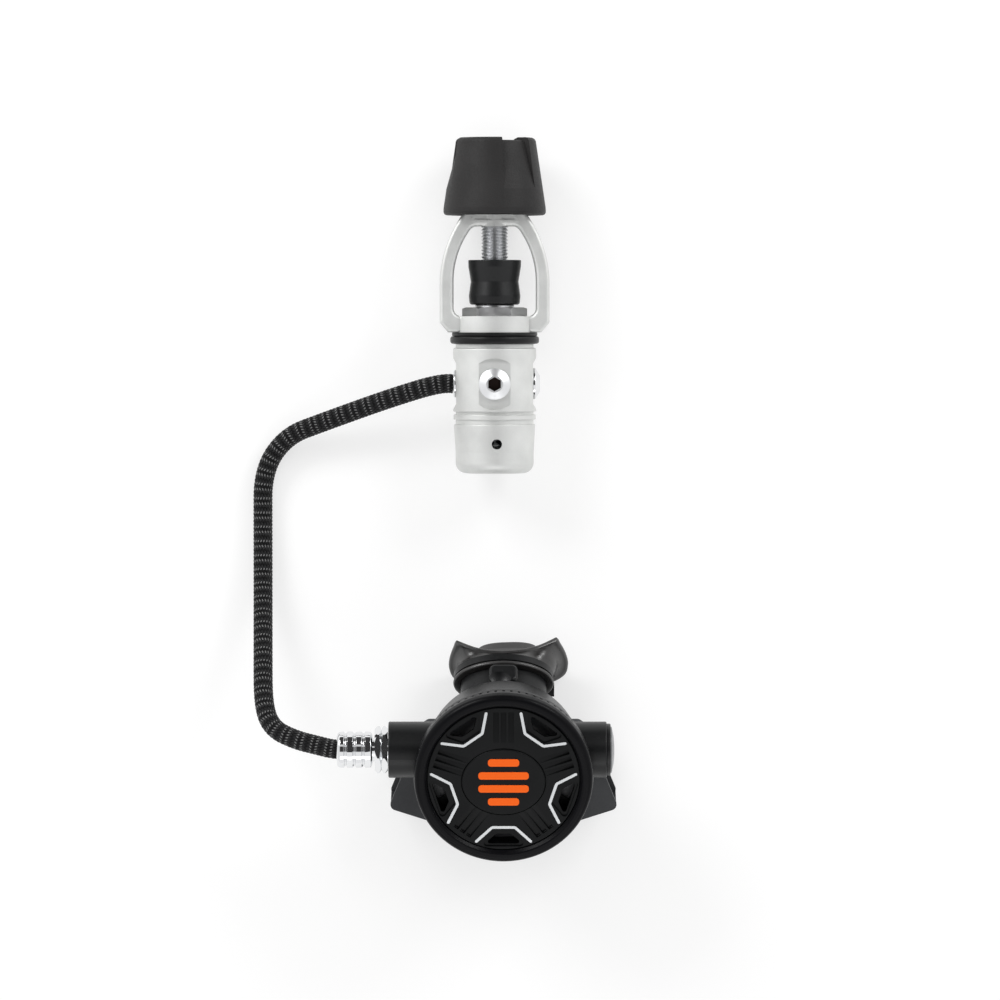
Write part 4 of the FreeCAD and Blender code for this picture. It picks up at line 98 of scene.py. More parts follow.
def surface_place(tree):
    """Place on the piece in metres."""
    return add(tree, "ShaderNodeTexCoord").outputs["Object"]


def spread(tree, value, low, high):
    """Takes a pattern from 0 to 1 to a range of values."""
    return add(tree, "ShaderNodeMapRange", {
        "Value": value, "From Min": 0.3, "From Max": 0.7, "To Min": low, "To Max": high,
    }).outputs["Result"]


def two_tones(tree, share, first, second):
    """Mixes two colours by a pattern."""
    return add(tree, "ShaderNodeMix", {
        "Factor": share, "A": linear(first), "B": linear(second),
    }, data_type="RGBA").outputs["Result"]


# Finishes

SOCKET_REACH = 3.35 * MM
SOCKET_LIP = 0.25 * MM


def bead_blasted_chrome():
    """Chrome plate over brass blasted with fine beads: a pale satin skin with a soft sparkle."""
    finish, tree, shader = new_finish("bead_blasted_chrome", "#dfe0de", 0.58, 1.0)
    where = surface_place(tree)
    # 0.2 mm beads, drawn at 0.35 mm so that they show
    grit = add(tree, "ShaderNodeTexNoise", {"Vector": where, "Scale": 2800.0, "Detail": 2.0})
    cloud = add(tree, "ShaderNodeTexNoise", {"Vector": where, "Scale": 90.0, "Detail": 3.0})
    tone = two_tones(tree, spread(tree, cloud.outputs["Fac"], 0.0, 1.0), "#d9dad8", "#e4e5e3")
    tree.links.new(tone, shader.inputs["Base Color"])
    tree.links.new(spread(tree, grit.outputs["Fac"], 0.52, 0.66), shader.inputs["Roughness"])
    dents = add(tree, "ShaderNodeBump", {
        "Strength": 0.35, "Distance": 0.03 * MM, "Height": grit.outputs["Fac"],
    })
    tree.links.new(dents.outputs["Normal"], shader.inputs["Normal"])
    return finish


def buffed_chrome(name, colour, roughness):
    """Hard chrome, buffed to a mirror with faint wiping marks, or duller where only milled."""
    finish, tree, shader = new_finish(name, colour, roughness, 1.0)
    where = surface_place(tree)
    wiping = add(tree, "ShaderNodeTexNoise", {"Vector": where, "Scale": 160.0, "Detail": 4.0})
    tree.links.new(spread(tree, wiping.outputs["Fac"], roughness * 0.75, roughness * 1.25),
                   shader.inputs["Roughness"])
    return finish


def turned_chrome():
    """Chrome over a turned face: fine rings that draw light into a star, and painted shade in the
    socket.
    """
    finish, tree, shader = new_finish("turned_chrome", "#ecedee", 0.42, 1.0)
    where = surface_place(tree)
    low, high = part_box("high_pressure_plug")
    middle = (low + high) / 2
    centred = add(tree, "ShaderNodeMapping", {
        "Vector": where, "Location": (-middle.x, -middle.y, 0.0),
    })
    # Rings 0.25 mm apart, coarser than real tool marks so that they show
    rings = add(tree, "ShaderNodeTexWave", {
        "Vector": centred.outputs["Vector"], "Scale": 640.0, "Distortion": 0.4, "Detail": 1.0,
    }, wave_type="RINGS", rings_direction="Z")
    marks = add(tree, "ShaderNodeBump", {
        "Strength": 0.25, "Distance": 0.01 * MM, "Height": rings.outputs["Fac"],
    })
    tree.links.new(marks.outputs["Normal"], shader.inputs["Normal"])
    tree.links.new(spread(tree, rings.outputs["Fac"], 0.38, 0.46), shader.inputs["Roughness"])
    # Painted shade: the broached hexagon is painted dark and reddish where it lies deep in the
    # socket
    apart = add(tree, "ShaderNodeSeparateXYZ", {"Vector": centred.outputs["Vector"]}).outputs
    flat = add(tree, "ShaderNodeCombineXYZ", {"X": apart["X"], "Y": apart["Y"]}).outputs["Vector"]
    reach = add(tree, "ShaderNodeVectorMath", {0: flat}, operation="LENGTH").outputs["Value"]
    near = maths(tree, "LESS_THAN", reach, SOCKET_REACH)
    deep = maths(tree, "LESS_THAN", apart["Z"], high.z - SOCKET_LIP)
    painted_socket_shade = maths(tree, "MULTIPLY", near, deep)
    tree.links.new(two_tones(tree, painted_socket_shade, "#ecedee", "#3a2f2d"), shader.inputs["Base Color"])
    return finish


def stainless_steel():
    """Drawn stainless steel: bright, with fine lines and a trace of oil."""
    finish, tree, shader = new_finish("stainless_steel", "#d2d3d5", 0.3, 1.0)
    where = surface_place(tree)
    stretched = add(tree, "ShaderNodeMapping", {"Vector": where, "Scale": (1.0, 0.15, 1.0)})
    lines = add(tree, "ShaderNodeTexNoise", {
        "Vector": stretched.outputs["Vector"], "Scale": 2600.0, "Detail": 3.0,
    })
    tree.links.new(spread(tree, lines.outputs["Fac"], 0.26, 0.36), shader.inputs["Roughness"])
    return finish


def grained_polymer(name, dark, light, roughness, grain, depth, level=0.5):
    """Black moulded polymer with the grain of its mould, in millimetres, and a slight bloom."""
    finish, tree, shader = new_finish(name, dark, roughness, 0.0, level)
    where = surface_place(tree)
    fine = add(tree, "ShaderNodeTexNoise", {
        "Vector": where, "Scale": 1 / (grain * MM), "Detail": 3.0, "Roughness": 0.6,
    })
    bloom = add(tree, "ShaderNodeTexNoise", {"Vector": where, "Scale": 55.0, "Detail": 4.0})
    tone = two_tones(tree, spread(tree, bloom.outputs["Fac"], 0.0, 1.0), dark, light)
    tree.links.new(tone, shader.inputs["Base Color"])
    tree.links.new(spread(tree, fine.outputs["Fac"], roughness - 0.07, roughness + 0.09),
                   shader.inputs["Roughness"])
    skin = add(tree, "ShaderNodeBump", {
        "Strength": 0.6, "Distance": depth * MM, "Height": fine.outputs["Fac"],
    })
    tree.links.new(skin.outputs["Normal"], shader.inputs["Normal"])
    return finish


# A fleck of tracer yarn: share of its stretch of the strand, and share of the strand's width
FLECK_HALF_LENGTH = 0.07
FLECK_HALF_WIDTH = 0.42


def braided_nylon():
    """Black nylon yarn with a grey tracer yarn that shows as flecks: matt, with a soft sheen."""
    finish, tree, shader = new_finish("braided_nylon", "#080809", 0.5, 0.0, 0.15)
    shader.inputs["Sheen Weight"].default_value = 0.04
    shader.inputs["Sheen Roughness"].default_value = 0.4
    where = surface_place(tree)

    waves = add(tree, "ShaderNodeAttribute", attribute_name="crest").outputs["Fac"]

    def from_middle(stretches):
        """How far a point lies from the middle of its stretch of the wave, 0 to 0.5."""
        share = maths(tree, "FRACT", maths(tree, "MULTIPLY", waves, stretches))
        return maths(tree, "ABSOLUTE", maths(tree, "SUBTRACT", share, 0.5))

    # Each strand is painted lighter where it lies on top and darker between, a painted highlight
    # and painted shade; the tracer shows at every second of these places
    painted_crest_light = add(tree, "ShaderNodeMapRange", {
        "Value": from_middle(2.0), "From Min": 0.2, "From Max": 0.42, "To Min": 0.0, "To Max": 1.0,
    }).outputs["Result"]
    across = add(tree, "ShaderNodeAttribute", attribute_name="across").outputs["Fac"]
    along_the_strand = maths(tree, "LESS_THAN", from_middle(1.0), FLECK_HALF_LENGTH)
    on_its_crown = maths(tree, "COMPARE", across, 0.0, FLECK_HALF_WIDTH)
    fleck = maths(tree, "MULTIPLY", along_the_strand, on_its_crown)
    tone = add(tree, "ShaderNodeMix", {
        "Factor": fleck, "A": two_tones(tree, painted_crest_light, "#080809", "#222223"), "B": linear("#717171"),
    }, data_type="RGBA").outputs["Result"]
    tree.links.new(tone, shader.inputs["Base Color"])
    # Filaments of 0.1 mm, drawn at 0.25 mm
    filaments = add(tree, "ShaderNodeTexNoise", {"Vector": where, "Scale": 4000.0, "Detail": 2.0})
    fibre = add(tree, "ShaderNodeBump", {
        "Strength": 0.5, "Distance": 0.05 * MM, "Height": filaments.outputs["Fac"],
    })
    tree.links.new(fibre.outputs["Normal"], shader.inputs["Normal"])
    return finish


def orange_elastomer():
    """Orange elastomer moulded on the button: dense colour, satin, lightly grained."""
    finish, tree, shader = new_finish("orange_elastomer", "#ff6611", 0.42, 0.0, 0.15)
    where = surface_place(tree)
    fine = add(tree, "ShaderNodeTexNoise", {"Vector": where, "Scale": 2200.0, "Detail": 2.0})
    tone = two_tones(tree, spread(tree, fine.outputs["Fac"], 0.0, 1.0), "#fd620e", "#ff6c18")
    tree.links.new(tone, shader.inputs["Base Color"])
    skin = add(tree, "ShaderNodeBump", {
        "Strength": 0.3, "Distance": 0.02 * MM, "Height": fine.outputs["Fac"],
    })
    tree.links.new(skin.outputs["Normal"], shader.inputs["Normal"])
    return finish


def silver_trim():
    """Thin silver-plated strip with fine slanted brushing."""
    finish, tree, shader = new_finish("silver_trim", "#bfc1c2", 0.32, 1.0)
    where = surface_place(tree)
    slanted = add(tree, "ShaderNodeMapping", {
        "Vector": where, "Rotation": (0.0, 0.0, 0.7), "Scale": (1.0, 0.1, 1.0),
    })
    brushing = add(tree, "ShaderNodeTexNoise", {
        "Vector": slanted.outputs["Vector"], "Scale": 3000.0, "Detail": 2.0,
    })
    tree.links.new(spread(tree, brushing.outputs["Fac"], 0.22, 0.42), shader.inputs["Roughness"])
    return finish


def turned_brass():
    """Bare turned brass: warm, with tool marks."""
    finish, tree, shader = new_finish("turned_brass", "#c9a560", 0.25, 1.0)
    where = surface_place(tree)
    marks = add(tree, "ShaderNodeTexNoise", {"Vector": where, "Scale": 1500.0, "Detail": 3.0})
    tree.links.new(spread(tree, marks.outputs["Fac"], 0.18, 0.36), shader.inputs["Roughness"])
    return finish


def sintered_bronze():
    """Bronze beads pressed and baked: dull red-brown, all pores."""
    finish, tree, shader = new_finish("sintered_bronze", "#8d6249", 0.6, 0.9)
    where = surface_place(tree)
    # Beads of 0.15 mm, drawn at 0.4 mm
    beads = add(tree, "ShaderNodeTexVoronoi", {"Vector": where, "Scale": 2500.0})
    # Painted shade: each bead is lighter at its middle and darker towards its edge, in the pores
    # between beads
    tone = two_tones(tree, beads.outputs["Distance"], "#a9785a", "#4d3226")
    tree.links.new(tone, shader.inputs["Base Color"])
    pores = add(tree, "ShaderNodeBump", {
        "Strength": 0.8, "Distance": 0.1 * MM, "Height": beads.outputs["Distance"],
    }, invert=True)
    tree.links.new(pores.outputs["Normal"], shader.inputs["Normal"])
    return finish


FINISHES = {
    "blasted": bead_blasted_chrome(),
    "polished": buffed_chrome("polished_chrome", "#e9eaeb", 0.06),
    "milled": buffed_chrome("milled_chrome", "#d6d6d7", 0.34),
    "turned": turned_chrome(),
    "steel": stainless_steel(),
    "knob": grained_polymer("soft_knob_rubber", "#1e1d1d", "#282727", 0.55, 0.7, 0.13, 0.3),
    "cap": grained_polymer("moulded_nitrile_cap", "#101112", "#161718", 0.34, 0.5, 0.02, 0.4),
    "ring": grained_polymer("nitrile_o_ring", "#101011", "#171718", 0.38, 0.5, 0.015, 0.25),
    "case": grained_polymer("glass_filled_nylon", "#0c0d0e", "#131415", 0.36, 0.3, 0.02, 0.32),
    "tee": grained_polymer("grained_elastomer", "#38393b", "#424345", 0.6, 0.6, 0.1, 0.25),
    "bezel": grained_polymer("satin_acetal", "#07070a", "#0c0c0e", 0.32, 0.4, 0.01, 0.1),
    "cover": grained_polymer("spark_eroded_abs", "#090a0b", "#101112", 0.36, 0.3, 0.03, 0.12),
    "silicone": grained_polymer("black_silicone", "#161514", "#201e1d", 0.34, 0.8, 0.02, 0.9),
    "clear_silicone": grained_polymer("grey_silicone", "#4b4c4e", "#56575a", 0.35, 0.8, 0.01),
    "acetal": grained_polymer("white_acetal", "#dcdad4", "#e4e2dc", 0.35, 0.4, 0.01),
    "dome": grained_polymer("grey_enamel", "#6f7173", "#7b7d7f", 0.3, 0.4, 0.01, 0.6),
    "braid": braided_nylon(),
    "orange": orange_elastomer(),
    "trim": silver_trim(),
    "brass": turned_brass(),
    "bronze": sintered_bronze(),
}

NODE_FINISHES = {
    "blasted": ["first_stage_body", "piston_cap", "yoke"],
    "milled": ["yoke_retainer"],
    "polished": ["hose_port_fitting", "hose_ferrule", "hose_stem",
                 "hose_swivel_nut", "inlet_barrel", "low_pressure_plugs"],
    "turned": ["high_pressure_plug"],
    "steel": ["piston", "piston_spring", "filter_circlip", "screw_tip_pad", "yoke_screw",
              "knob_cross_pin", "button_spring", "diaphragm_plate", "poppet_spring",
              "demand_lever", "lever_nut"],
    "knob": ["knob"],
    "cap": ["dust_cap"],
    "ring": ["piston_head_o_ring", "piston_shaft_o_ring", "neck_spacer_ring", "neck_bumper_ring",
             "port_o_rings", "hose_stem_o_ring", "orifice_o_ring", "poppet_seat"],
    "case": ["second_stage_case", "end_plug", "mouthpiece_strap", "airflow_lever"],
    "tee": ["exhaust_tee"],
    "bezel": ["front_ring"],
    "cover": ["purge_cover", "purge_button", "diaphragm_clamp_ring"],
    "silicone": ["mouthpiece", "exhaust_valve"],
    "clear_silicone": ["diaphragm"],
    "acetal": ["high_pressure_seat", "poppet"],
    "dome": ["end_plug_dome"],
    "braid": ["hose"],
    "orange": ["button_grip_bars"],
    "trim": ["cover_trim_strips"],
    "brass": ["knob_core", "adjustable_orifice"],
    "bronze": ["inlet_filter"],
}

for finish_name, node_names in NODE_FINISHES.items():
    for node_name in node_names:
        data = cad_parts[node_name].data
        data.materials.clear()
        data.materials.append(FINISHES[finish_name])


# Camera, straight above as in the photograph, and light

CAMERA_PLACE = (0.72 * MM, -0.68 * MM, 2.6)
SENSOR_WIDTH = 36.0
# The picture is this wide at this height above the table
FRAME_WIDTH = 0.450
FRAME_HEIGHT = 0.035

# Name, place in metres, width, depth and watts of each soft lamp
LAMPS = (
    ("key", (-1.1, 1.15, 1.0), 0.9, 0.6, 15.0),
    ("second", (1.15, 1.2, 0.95), 0.8, 0.5, 11.0),
    ("low", (0.1, -1.4, 1.0), 1.2, 0.5, 3.0),
)
DULL_ROOM = 0.66
BACKDROP = 0.95

# Lean in degrees from straight above, positive towards the picture's upper edge, and tone there
ROOM_TONES = (
    (-180, 0.95), (-14, 0.92), (-9, 0.05), (21, 0.04), (25, 0.75), (33, 0.75), (37, 0.05),
    (100, 0.05), (125, 0.9), (180, 0.95),
)
SIDES_OF_THE_ROOM = (0.86, 0.86, 0.87, 1.0)

FLOOR_HALF = 3.0
FLOOR_GLOW = 0.6
FLOOR_SHADE = 0.42


def place_camera():
    """A long lens straight above the table."""
    camera = bpy.data.cameras.new("camera")
    camera.sensor_width = SENSOR_WIDTH
    camera.lens = SENSOR_WIDTH * (CAMERA_PLACE[2] - FRAME_HEIGHT) / FRAME_WIDTH
    camera.clip_end = 20.0
    holder = bpy.data.objects.new("camera", camera)
    holder.location = CAMERA_PLACE
    bpy.context.scene.collection.objects.link(holder)
    bpy.context.scene.camera = holder


def soft_box(name, place, width, depth, watts):
    """A square lamp that faces the middle of the object."""
    lamp = bpy.data.lights.new(name, "AREA")
    lamp.shape = "RECTANGLE"
    lamp.size = width
    lamp.size_y = depth
    lamp.energy = watts
    holder = bpy.data.objects.new(name, lamp)
    holder.location = place
    holder.rotation_euler = (-Vector(place)).to_track_quat("-Z", "Y").to_euler()
    bpy.context.scene.collection.objects.link(holder)


def room_seen_in_metal(tree):
    """Tone of the room by direction: dark above and towards the upper edge, else white."""
    direction = add(tree, "ShaderNodeTexCoord").outputs["Generated"]
    apart = add(tree, "ShaderNodeSeparateXYZ", {"Vector": direction}).outputs
    lean = add(tree, "ShaderNodeMapRange", {
        "Value": maths(tree, "ARCTAN2", apart["Y"], apart["Z"]),
        "From Min": -math.pi, "From Max": math.pi,
    }).outputs["Result"]
    ramp = add(tree, "ShaderNodeValToRGB", {"Fac": lean})
    stops = ramp.color_ramp.elements
    while len(stops) < len(ROOM_TONES):
        stops.new(0.5)
    for stop, (degrees, tone) in zip(stops, ROOM_TONES):
        stop.position = (degrees + 180) / 360
        stop.color = (tone, tone, tone * 1.01, 1.0)
    side = add(tree, "ShaderNodeMapRange", {
        "Value": maths(tree, "ABSOLUTE", apart["X"]), "From Min": 0.3, "From Max": 0.62,
    }, interpolation_type="SMOOTHSTEP").outputs["Result"]
    return add(tree, "ShaderNodeMix", {
        "Factor": side, "A": ramp.outputs["Color"], "B": SIDES_OF_THE_ROOM,
    }, data_type="RGBA").outputs["Result"]


def light_the_room():
    """Even grey light for dull faces, and a studio of white and black for polished ones."""
    world = bpy.data.worlds.new("studio")
    bpy.context.scene.world = world
    world.use_nodes = True
    tree = world.node_tree
    background = tree.nodes["Background"]
    rays = add(tree, "ShaderNodeLightPath").outputs
    mirrored = add(tree, "ShaderNodeMix", {
        "Factor": rays["Is Glossy Ray"], "A": grey(DULL_ROOM), "B": room_seen_in_metal(tree),
    }, data_type="RGBA").outputs["Result"]
    shown = add(tree, "ShaderNodeMix", {
        "Factor": maths(tree, "MAXIMUM", rays["Is Camera Ray"], rays["Is Transmission Ray"]),
        "A": mirrored, "B": grey(BACKDROP),
    }, data_type="RGBA").outputs["Result"]
    tree.links.new(shown, background.inputs["Color"])


def lay_floor():
    """A pale table, brightened for the camera alone, that keeps the object's shadow."""
    mesh = bpy.data.meshes.new("floor")
    half = FLOOR_HALF
    corners = [(-half, -half, 0), (half, -half, 0), (half, half, 0), (-half, half, 0)]
    mesh.from_pydata(corners, [], [(0, 1, 2, 3)])
    floor = bpy.data.objects.new("floor", mesh)
    bpy.context.scene.collection.objects.link(floor)
    paper, tree, shader = new_finish("white_paper", "#e9e9e9", 0.9, 0.0, 0.1)
    rays = add(tree, "ShaderNodeLightPath").outputs
    direct = maths(tree, "MAXIMUM", rays["Is Camera Ray"], rays["Is Glossy Ray"])
    direct = maths(tree, "MAXIMUM", direct, rays["Is Transmission Ray"])
    glow = add(tree, "ShaderNodeEmission", {"Color": grey(1.0), "Strength": FLOOR_GLOW})
    dim = add(tree, "ShaderNodeBsdfDiffuse", {"Color": grey(FLOOR_SHADE)})
    both = add(tree, "ShaderNodeAddShader", {0: glow.outputs["Emission"], 1: dim.outputs["BSDF"]})
    mixed = add(tree, "ShaderNodeMixShader", {
        0: direct, 1: shader.outputs["BSDF"], 2: both.outputs["Shader"],
    })
    tree.links.new(mixed.outputs["Shader"], tree.nodes["Material Output"].inputs["Surface"])
    mesh.materials.append(paper)


place_camera()
light_the_room()
lay_floor()
for lamp_values in LAMPS:
    soft_box(*lamp_values)
bpy.context.scene.view_settings.view_transform = "Standard"


# Hose, from the first stage's port to the ferrule

HOSE_RADIUS = 4.3 * MM
# The solid's own points, moved by a few millimetres where the photograph asks for it
HOSE_POINTS = [
    (-20.3, 51.865, 20.612),
    (-25.0, 52.8, 20.3),
    (-50.0, 45.2, 17.2),
    (-79.3, 34.8, 10.8),
    (-96.6, 28.4, 7.4),
    (-107.2, 12.8, 4.8),
    (-107.2, -12.0, 4.5),
    (-107.0, -42.0, 8.3),
    (-106.4, -70.0, 23.0),
    (-105.8, -93.0, 36.3),
    (-101.6, -103.2, 42.2),
    (-91.0, -108.2, 45.6),
    (-80.5, -110.7, 46.8),
    (-75.5, -112.0, 47.2),
    (-71.2, -112.496, 47.334),
]


def route_curve(points):
    """One smooth spline with the route's points as its control points, in metres."""
    curve = bpy.data.curves.new("hose_route", "CURVE")
    curve.dimensions = "3D"
    curve.resolution_u = 40
    spline = curve.splines.new("NURBS")
    spline.points.add(len(points) - 1)
    for control, point in zip(spline.points, points):
        control.co = (*(Vector(point) * MM), 1.0)
    spline.order_u = 3
    spline.use_endpoint_u = True
    route = bpy.data.objects.new("hose_route", curve)
    bpy.context.scene.collection.objects.link(route)
    return route


def braid_tree():
    """Geometry nodes: a core tube with strands wound both ways, over and under each other."""
    tree = bpy.data.node_groups.new("braided_hose", "GeometryNodeTree")
    face = tree.interface
    face.new_socket("Geometry", in_out="INPUT", socket_type="NodeSocketGeometry")
    for name, kind in (
        ("Hose radius", "NodeSocketFloat"),
        ("Strands each way", "NodeSocketInt"),
        ("Length of one turn", "NodeSocketFloat"),
        ("Strand width", "NodeSocketFloat"),
        ("Strand thickness", "NodeSocketFloat"),
        ("Step", "NodeSocketFloat"),
        ("Yarn", "NodeSocketMaterial"),
    ):
        face.new_socket(name, in_out="INPUT", socket_type=kind)
    face.new_socket("Geometry", in_out="OUTPUT", socket_type="NodeSocketGeometry")
    given = add(tree, "NodeGroupInput").outputs
    out = add(tree, "NodeGroupOutput")

    def reckon(operation, *values):
        return maths(tree, operation, *values)

    def vectors(operation, inputs):
        return add(tree, "ShaderNodeVectorMath", inputs, operation=operation).outputs[0]

    def stored(geometry, name, value, kind="FLOAT"):
        return add(tree, "GeometryNodeStoreNamedAttribute", {
            "Geometry": geometry, "Name": name, "Value": value,
        }, data_type=kind, domain="POINT").outputs["Geometry"]

    stepped = add(tree, "GeometryNodeResampleCurve", {
        "Curve": given["Geometry"], "Length": given["Step"],
    }, mode="LENGTH").outputs["Curve"]
    thickness = given["Strand thickness"]
    core_radius = reckon("SUBTRACT", given["Hose radius"], reckon("MULTIPLY", thickness, 1.6))
    core_ring = add(tree, "GeometryNodeCurvePrimitiveCircle", {
        "Resolution": 32, "Radius": core_radius,
    }).outputs["Curve"]
    core = add(tree, "GeometryNodeCurveToMesh", {
        "Curve": stepped, "Profile Curve": core_ring, "Fill Caps": True,
    }).outputs["Mesh"]
    ring = add(tree, "GeometryNodeCurvePrimitiveCircle", {
        "Resolution": 5, "Radius": 0.5,
    }).outputs["Curve"]
    flat = add(tree, "ShaderNodeCombineXYZ", {
        "X": thickness, "Y": given["Strand width"], "Z": 1.0,
    }).outputs["Vector"]
    place = add(tree, "ShaderNodeSeparateXYZ", {
        "Vector": add(tree, "GeometryNodeInputPosition").outputs["Position"],
    }).outputs["Y"]
    ring = stored(ring, "across", reckon("MULTIPLY", place, 2.0))
    strand_section = add(tree, "GeometryNodeTransform", {
        "Geometry": ring, "Scale": flat,
    }).outputs["Geometry"]
    length = add(tree, "GeometryNodeSplineParameter").outputs["Length"]
    turned = reckon("DIVIDE", reckon("MULTIPLY", length, WHOLE_TURN), given["Length of one turn"])
    normal = add(tree, "GeometryNodeInputNormal").outputs["Normal"]
    tangent = add(tree, "GeometryNodeInputTangent").outputs["Tangent"]
    side = vectors("CROSS_PRODUCT", {0: tangent, 1: normal})
    parts = [core]
    # Strands to the right and to the left, and where in its wave each shows its tracer yarn
    for hand, tracer in ((1.0, 0.56), (-1.0, 0.19)):
        copied = add(tree, "GeometryNodeDuplicateElements", {
            "Geometry": stepped, "Amount": given["Strands each way"],
        }, domain="SPLINE")
        number = copied.outputs["Duplicate Index"]
        share = reckon("DIVIDE", number, given["Strands each way"])
        start = reckon("MULTIPLY", share, WHOLE_TURN)
        angle = reckon("ADD", start, reckon("MULTIPLY", turned, hand))
        outward = vectors("ADD", {
            0: vectors("SCALE", {0: normal, "Scale": reckon("COSINE", angle)}),
            1: vectors("SCALE", {0: side, "Scale": reckon("SINE", angle)}),
        })
        # Up over one strand of the other hand and down under the next
        crossing = reckon("COSINE", reckon("MULTIPLY", turned, given["Strands each way"]))
        lift = reckon("MULTIPLY", reckon("MULTIPLY", crossing, thickness), 0.5 * hand)
        middle = reckon("SUBTRACT", given["Hose radius"], thickness)
        offset = vectors("SCALE", {0: outward, "Scale": reckon("ADD", middle, lift)})
        crests = reckon("DIVIDE", reckon("MULTIPLY", length, given["Strands each way"]),
                        given["Length of one turn"])
        # The tracer shows near every second crest, so that the two hands' flecks lie in pairs
        pairs = reckon("ADD", reckon("MULTIPLY", crests, 0.5), tracer)
        marked = stored(copied.outputs["Geometry"], "crest", pairs)
        kept = stored(marked, "outward", outward, "FLOAT_VECTOR")
        moved = add(tree, "GeometryNodeSetPosition", {
            "Geometry": kept, "Offset": offset,
        }).outputs["Geometry"]
        known = add(tree, "GeometryNodeInputNamedAttribute", {"Name": "outward"},
                    data_type="FLOAT_VECTOR").outputs["Attribute"]
        level = add(tree, "GeometryNodeSetCurveNormal", {"Curve": moved, "Normal": known},
                    mode="FREE").outputs["Curve"]
        strand = add(tree, "GeometryNodeCurveToMesh", {
            "Curve": level, "Profile Curve": strand_section, "Fill Caps": True,
        }).outputs["Mesh"]
        parts.append(strand)
    joined = add(tree, "GeometryNodeJoinGeometry")
    for part in parts:
        tree.links.new(part, joined.inputs["Geometry"])
    smooth = add(tree, "GeometryNodeSetShadeSmooth", {"Geometry": joined.outputs["Geometry"]})
    real = add(tree, "GeometryNodeRealizeInstances", {"Geometry": smooth.outputs["Geometry"]})
    coated = add(tree, "GeometryNodeSetMaterial", {
        "Geometry": real.outputs["Geometry"], "Material": given["Yarn"],
    })
    tree.links.new(coated.outputs["Geometry"], out.inputs["Geometry"])
    return tree


def made_mesh(holder, name):
    """The evaluated shape of an object as a plain mesh object, in place."""
    graph = bpy.context.evaluated_depsgraph_get()
    mesh = bpy.data.meshes.new_from_object(holder.evaluated_get(graph))
    mesh.name = name
    piece = bpy.data.objects.new(name, mesh)
    bpy.context.scene.collection.objects.link(piece)
    return piece


def lay_hose():
    """The braid around its route, as one mesh."""
    route = route_curve(HOSE_POINTS)
    bpy.context.view_layer.update()
    line = made_mesh(route, "hose_line")
    bpy.data.objects.remove(line)
    tree = braid_tree()
    braid = route.modifiers.new("braid", "NODES")
    braid.node_group = tree
    sizes = {
        "Hose radius": HOSE_RADIUS + 0.1 * MM,
        "Strands each way": 20,
        "Length of one turn": 66 * MM,
        "Strand width": 1.15 * MM,
        "Strand thickness": 0.38 * MM,
        "Step": 0.64 * MM,
        "Yarn": FINISHES["braid"],
    }
    for item in tree.interface.items_tree:
        if item.in_out == "INPUT" and item.name in sizes:
            braid[item.identifier] = sizes[item.name]
    bpy.context.view_layer.update()
    hose = made_mesh(route, "braided_hose")
    bpy.data.objects.remove(route)
    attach(hose, "first_stage")
    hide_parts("hose")


lay_hose()


# The second stage's soft pieces, drawn in millimetres in their solids' own frames

STAGE_MIDDLE = Vector((2.3, -125.1, 69.963))
STAGE_TILT = math.radians(19)
MOUTH_ANGLE = math.radians(30)
MOUTH_DEPTH = 18.0
CASE_DEPTH = 38.4
EXHAUST_Y = 18.4
RING_POINTS = 112


def stage_frame():
    """The frame of the second stage, with Z out of the cover."""
    return Matrix.Translation(STAGE_MIDDLE) @ Matrix.Rotation(STAGE_TILT, 4, "X")


def mouth_frame():
    """The frame of the mouthpiece tube, with Z along it and height above it as minus Y."""
    bend = Matrix.Rotation(MOUTH_ANGLE - math.pi, 4, "X")
    return stage_frame() @ Matrix.Translation((0.0, 0.0, -MOUTH_DEPTH)) @ bend


def skin(name, rings, place, closed, material):
    """A smooth skin through rings of points; the last joins the first, or both ends are filled."""
    count = len(rings[0])
    corners = [place @ point * MM for ring in rings for point in ring]
    last = len(rings) if closed else len(rings) - 1
    faces = []
    for row in range(last):
        here = row * count
        there = (row + 1) % len(rings) * count
        for number in range(count):
            after = (number + 1) % count
            faces.append((here + number, here + after, there + after, there + number))
    if not closed:
        faces.append(tuple(range(count)))
        faces.append(tuple(range((len(rings) - 1) * count, len(rings) * count)))
    mesh = bpy.data.meshes.new(name)
    mesh.from_pydata(corners, [], faces)
    shape = bmesh.new()
    shape.from_mesh(mesh)
    bmesh.ops.recalc_face_normals(shape, faces=shape.faces)
    shape.to_mesh(mesh)
    shape.free()
    mesh.materials.append(material)
    mesh.shade_smooth()
    mesh.set_sharp_from_angle(angle=math.radians(50))
    piece = bpy.data.objects.new(name, mesh)
    bpy.context.scene.collection.objects.link(piece)
    return piece


def oval(half_width, half_height, along, power=2.0, middle=(0.0, 0.0)):
    """An oval across the tube; a higher power squares it."""
    ring = []
    for number in range(RING_POINTS):
        angle = WHOLE_TURN * number / RING_POINTS
        x = math.copysign(abs(math.cos(angle)) ** (2 / power), math.cos(angle))
        up = math.copysign(abs(math.sin(angle)) ** (2 / power), math.sin(angle))
        ring.append(Vector((middle[0] + half_width * x, middle[1] + half_height * up, along)))
    return ring


# Right half of the lip flange from the dip over the ear to its lower edge: sideways, up
FLANGE_HALF = [(0.0, 9.5), (9.0, 9.7), (17.0, 11.0), (22.4, 13.6), (24.4, 8.6), (26.5, 0.5),
               (27.1, -7.0), (25.0, -13.4), (17.0, -16.2), (0.0, -16.4)]
FLANGE_MIDDLE = Vector((0.0, -3.0))
FLANGE_START = 57.2
FLANGE_THICKNESS = 2.2
FLANGE_BEND_RADIUS = 75.0


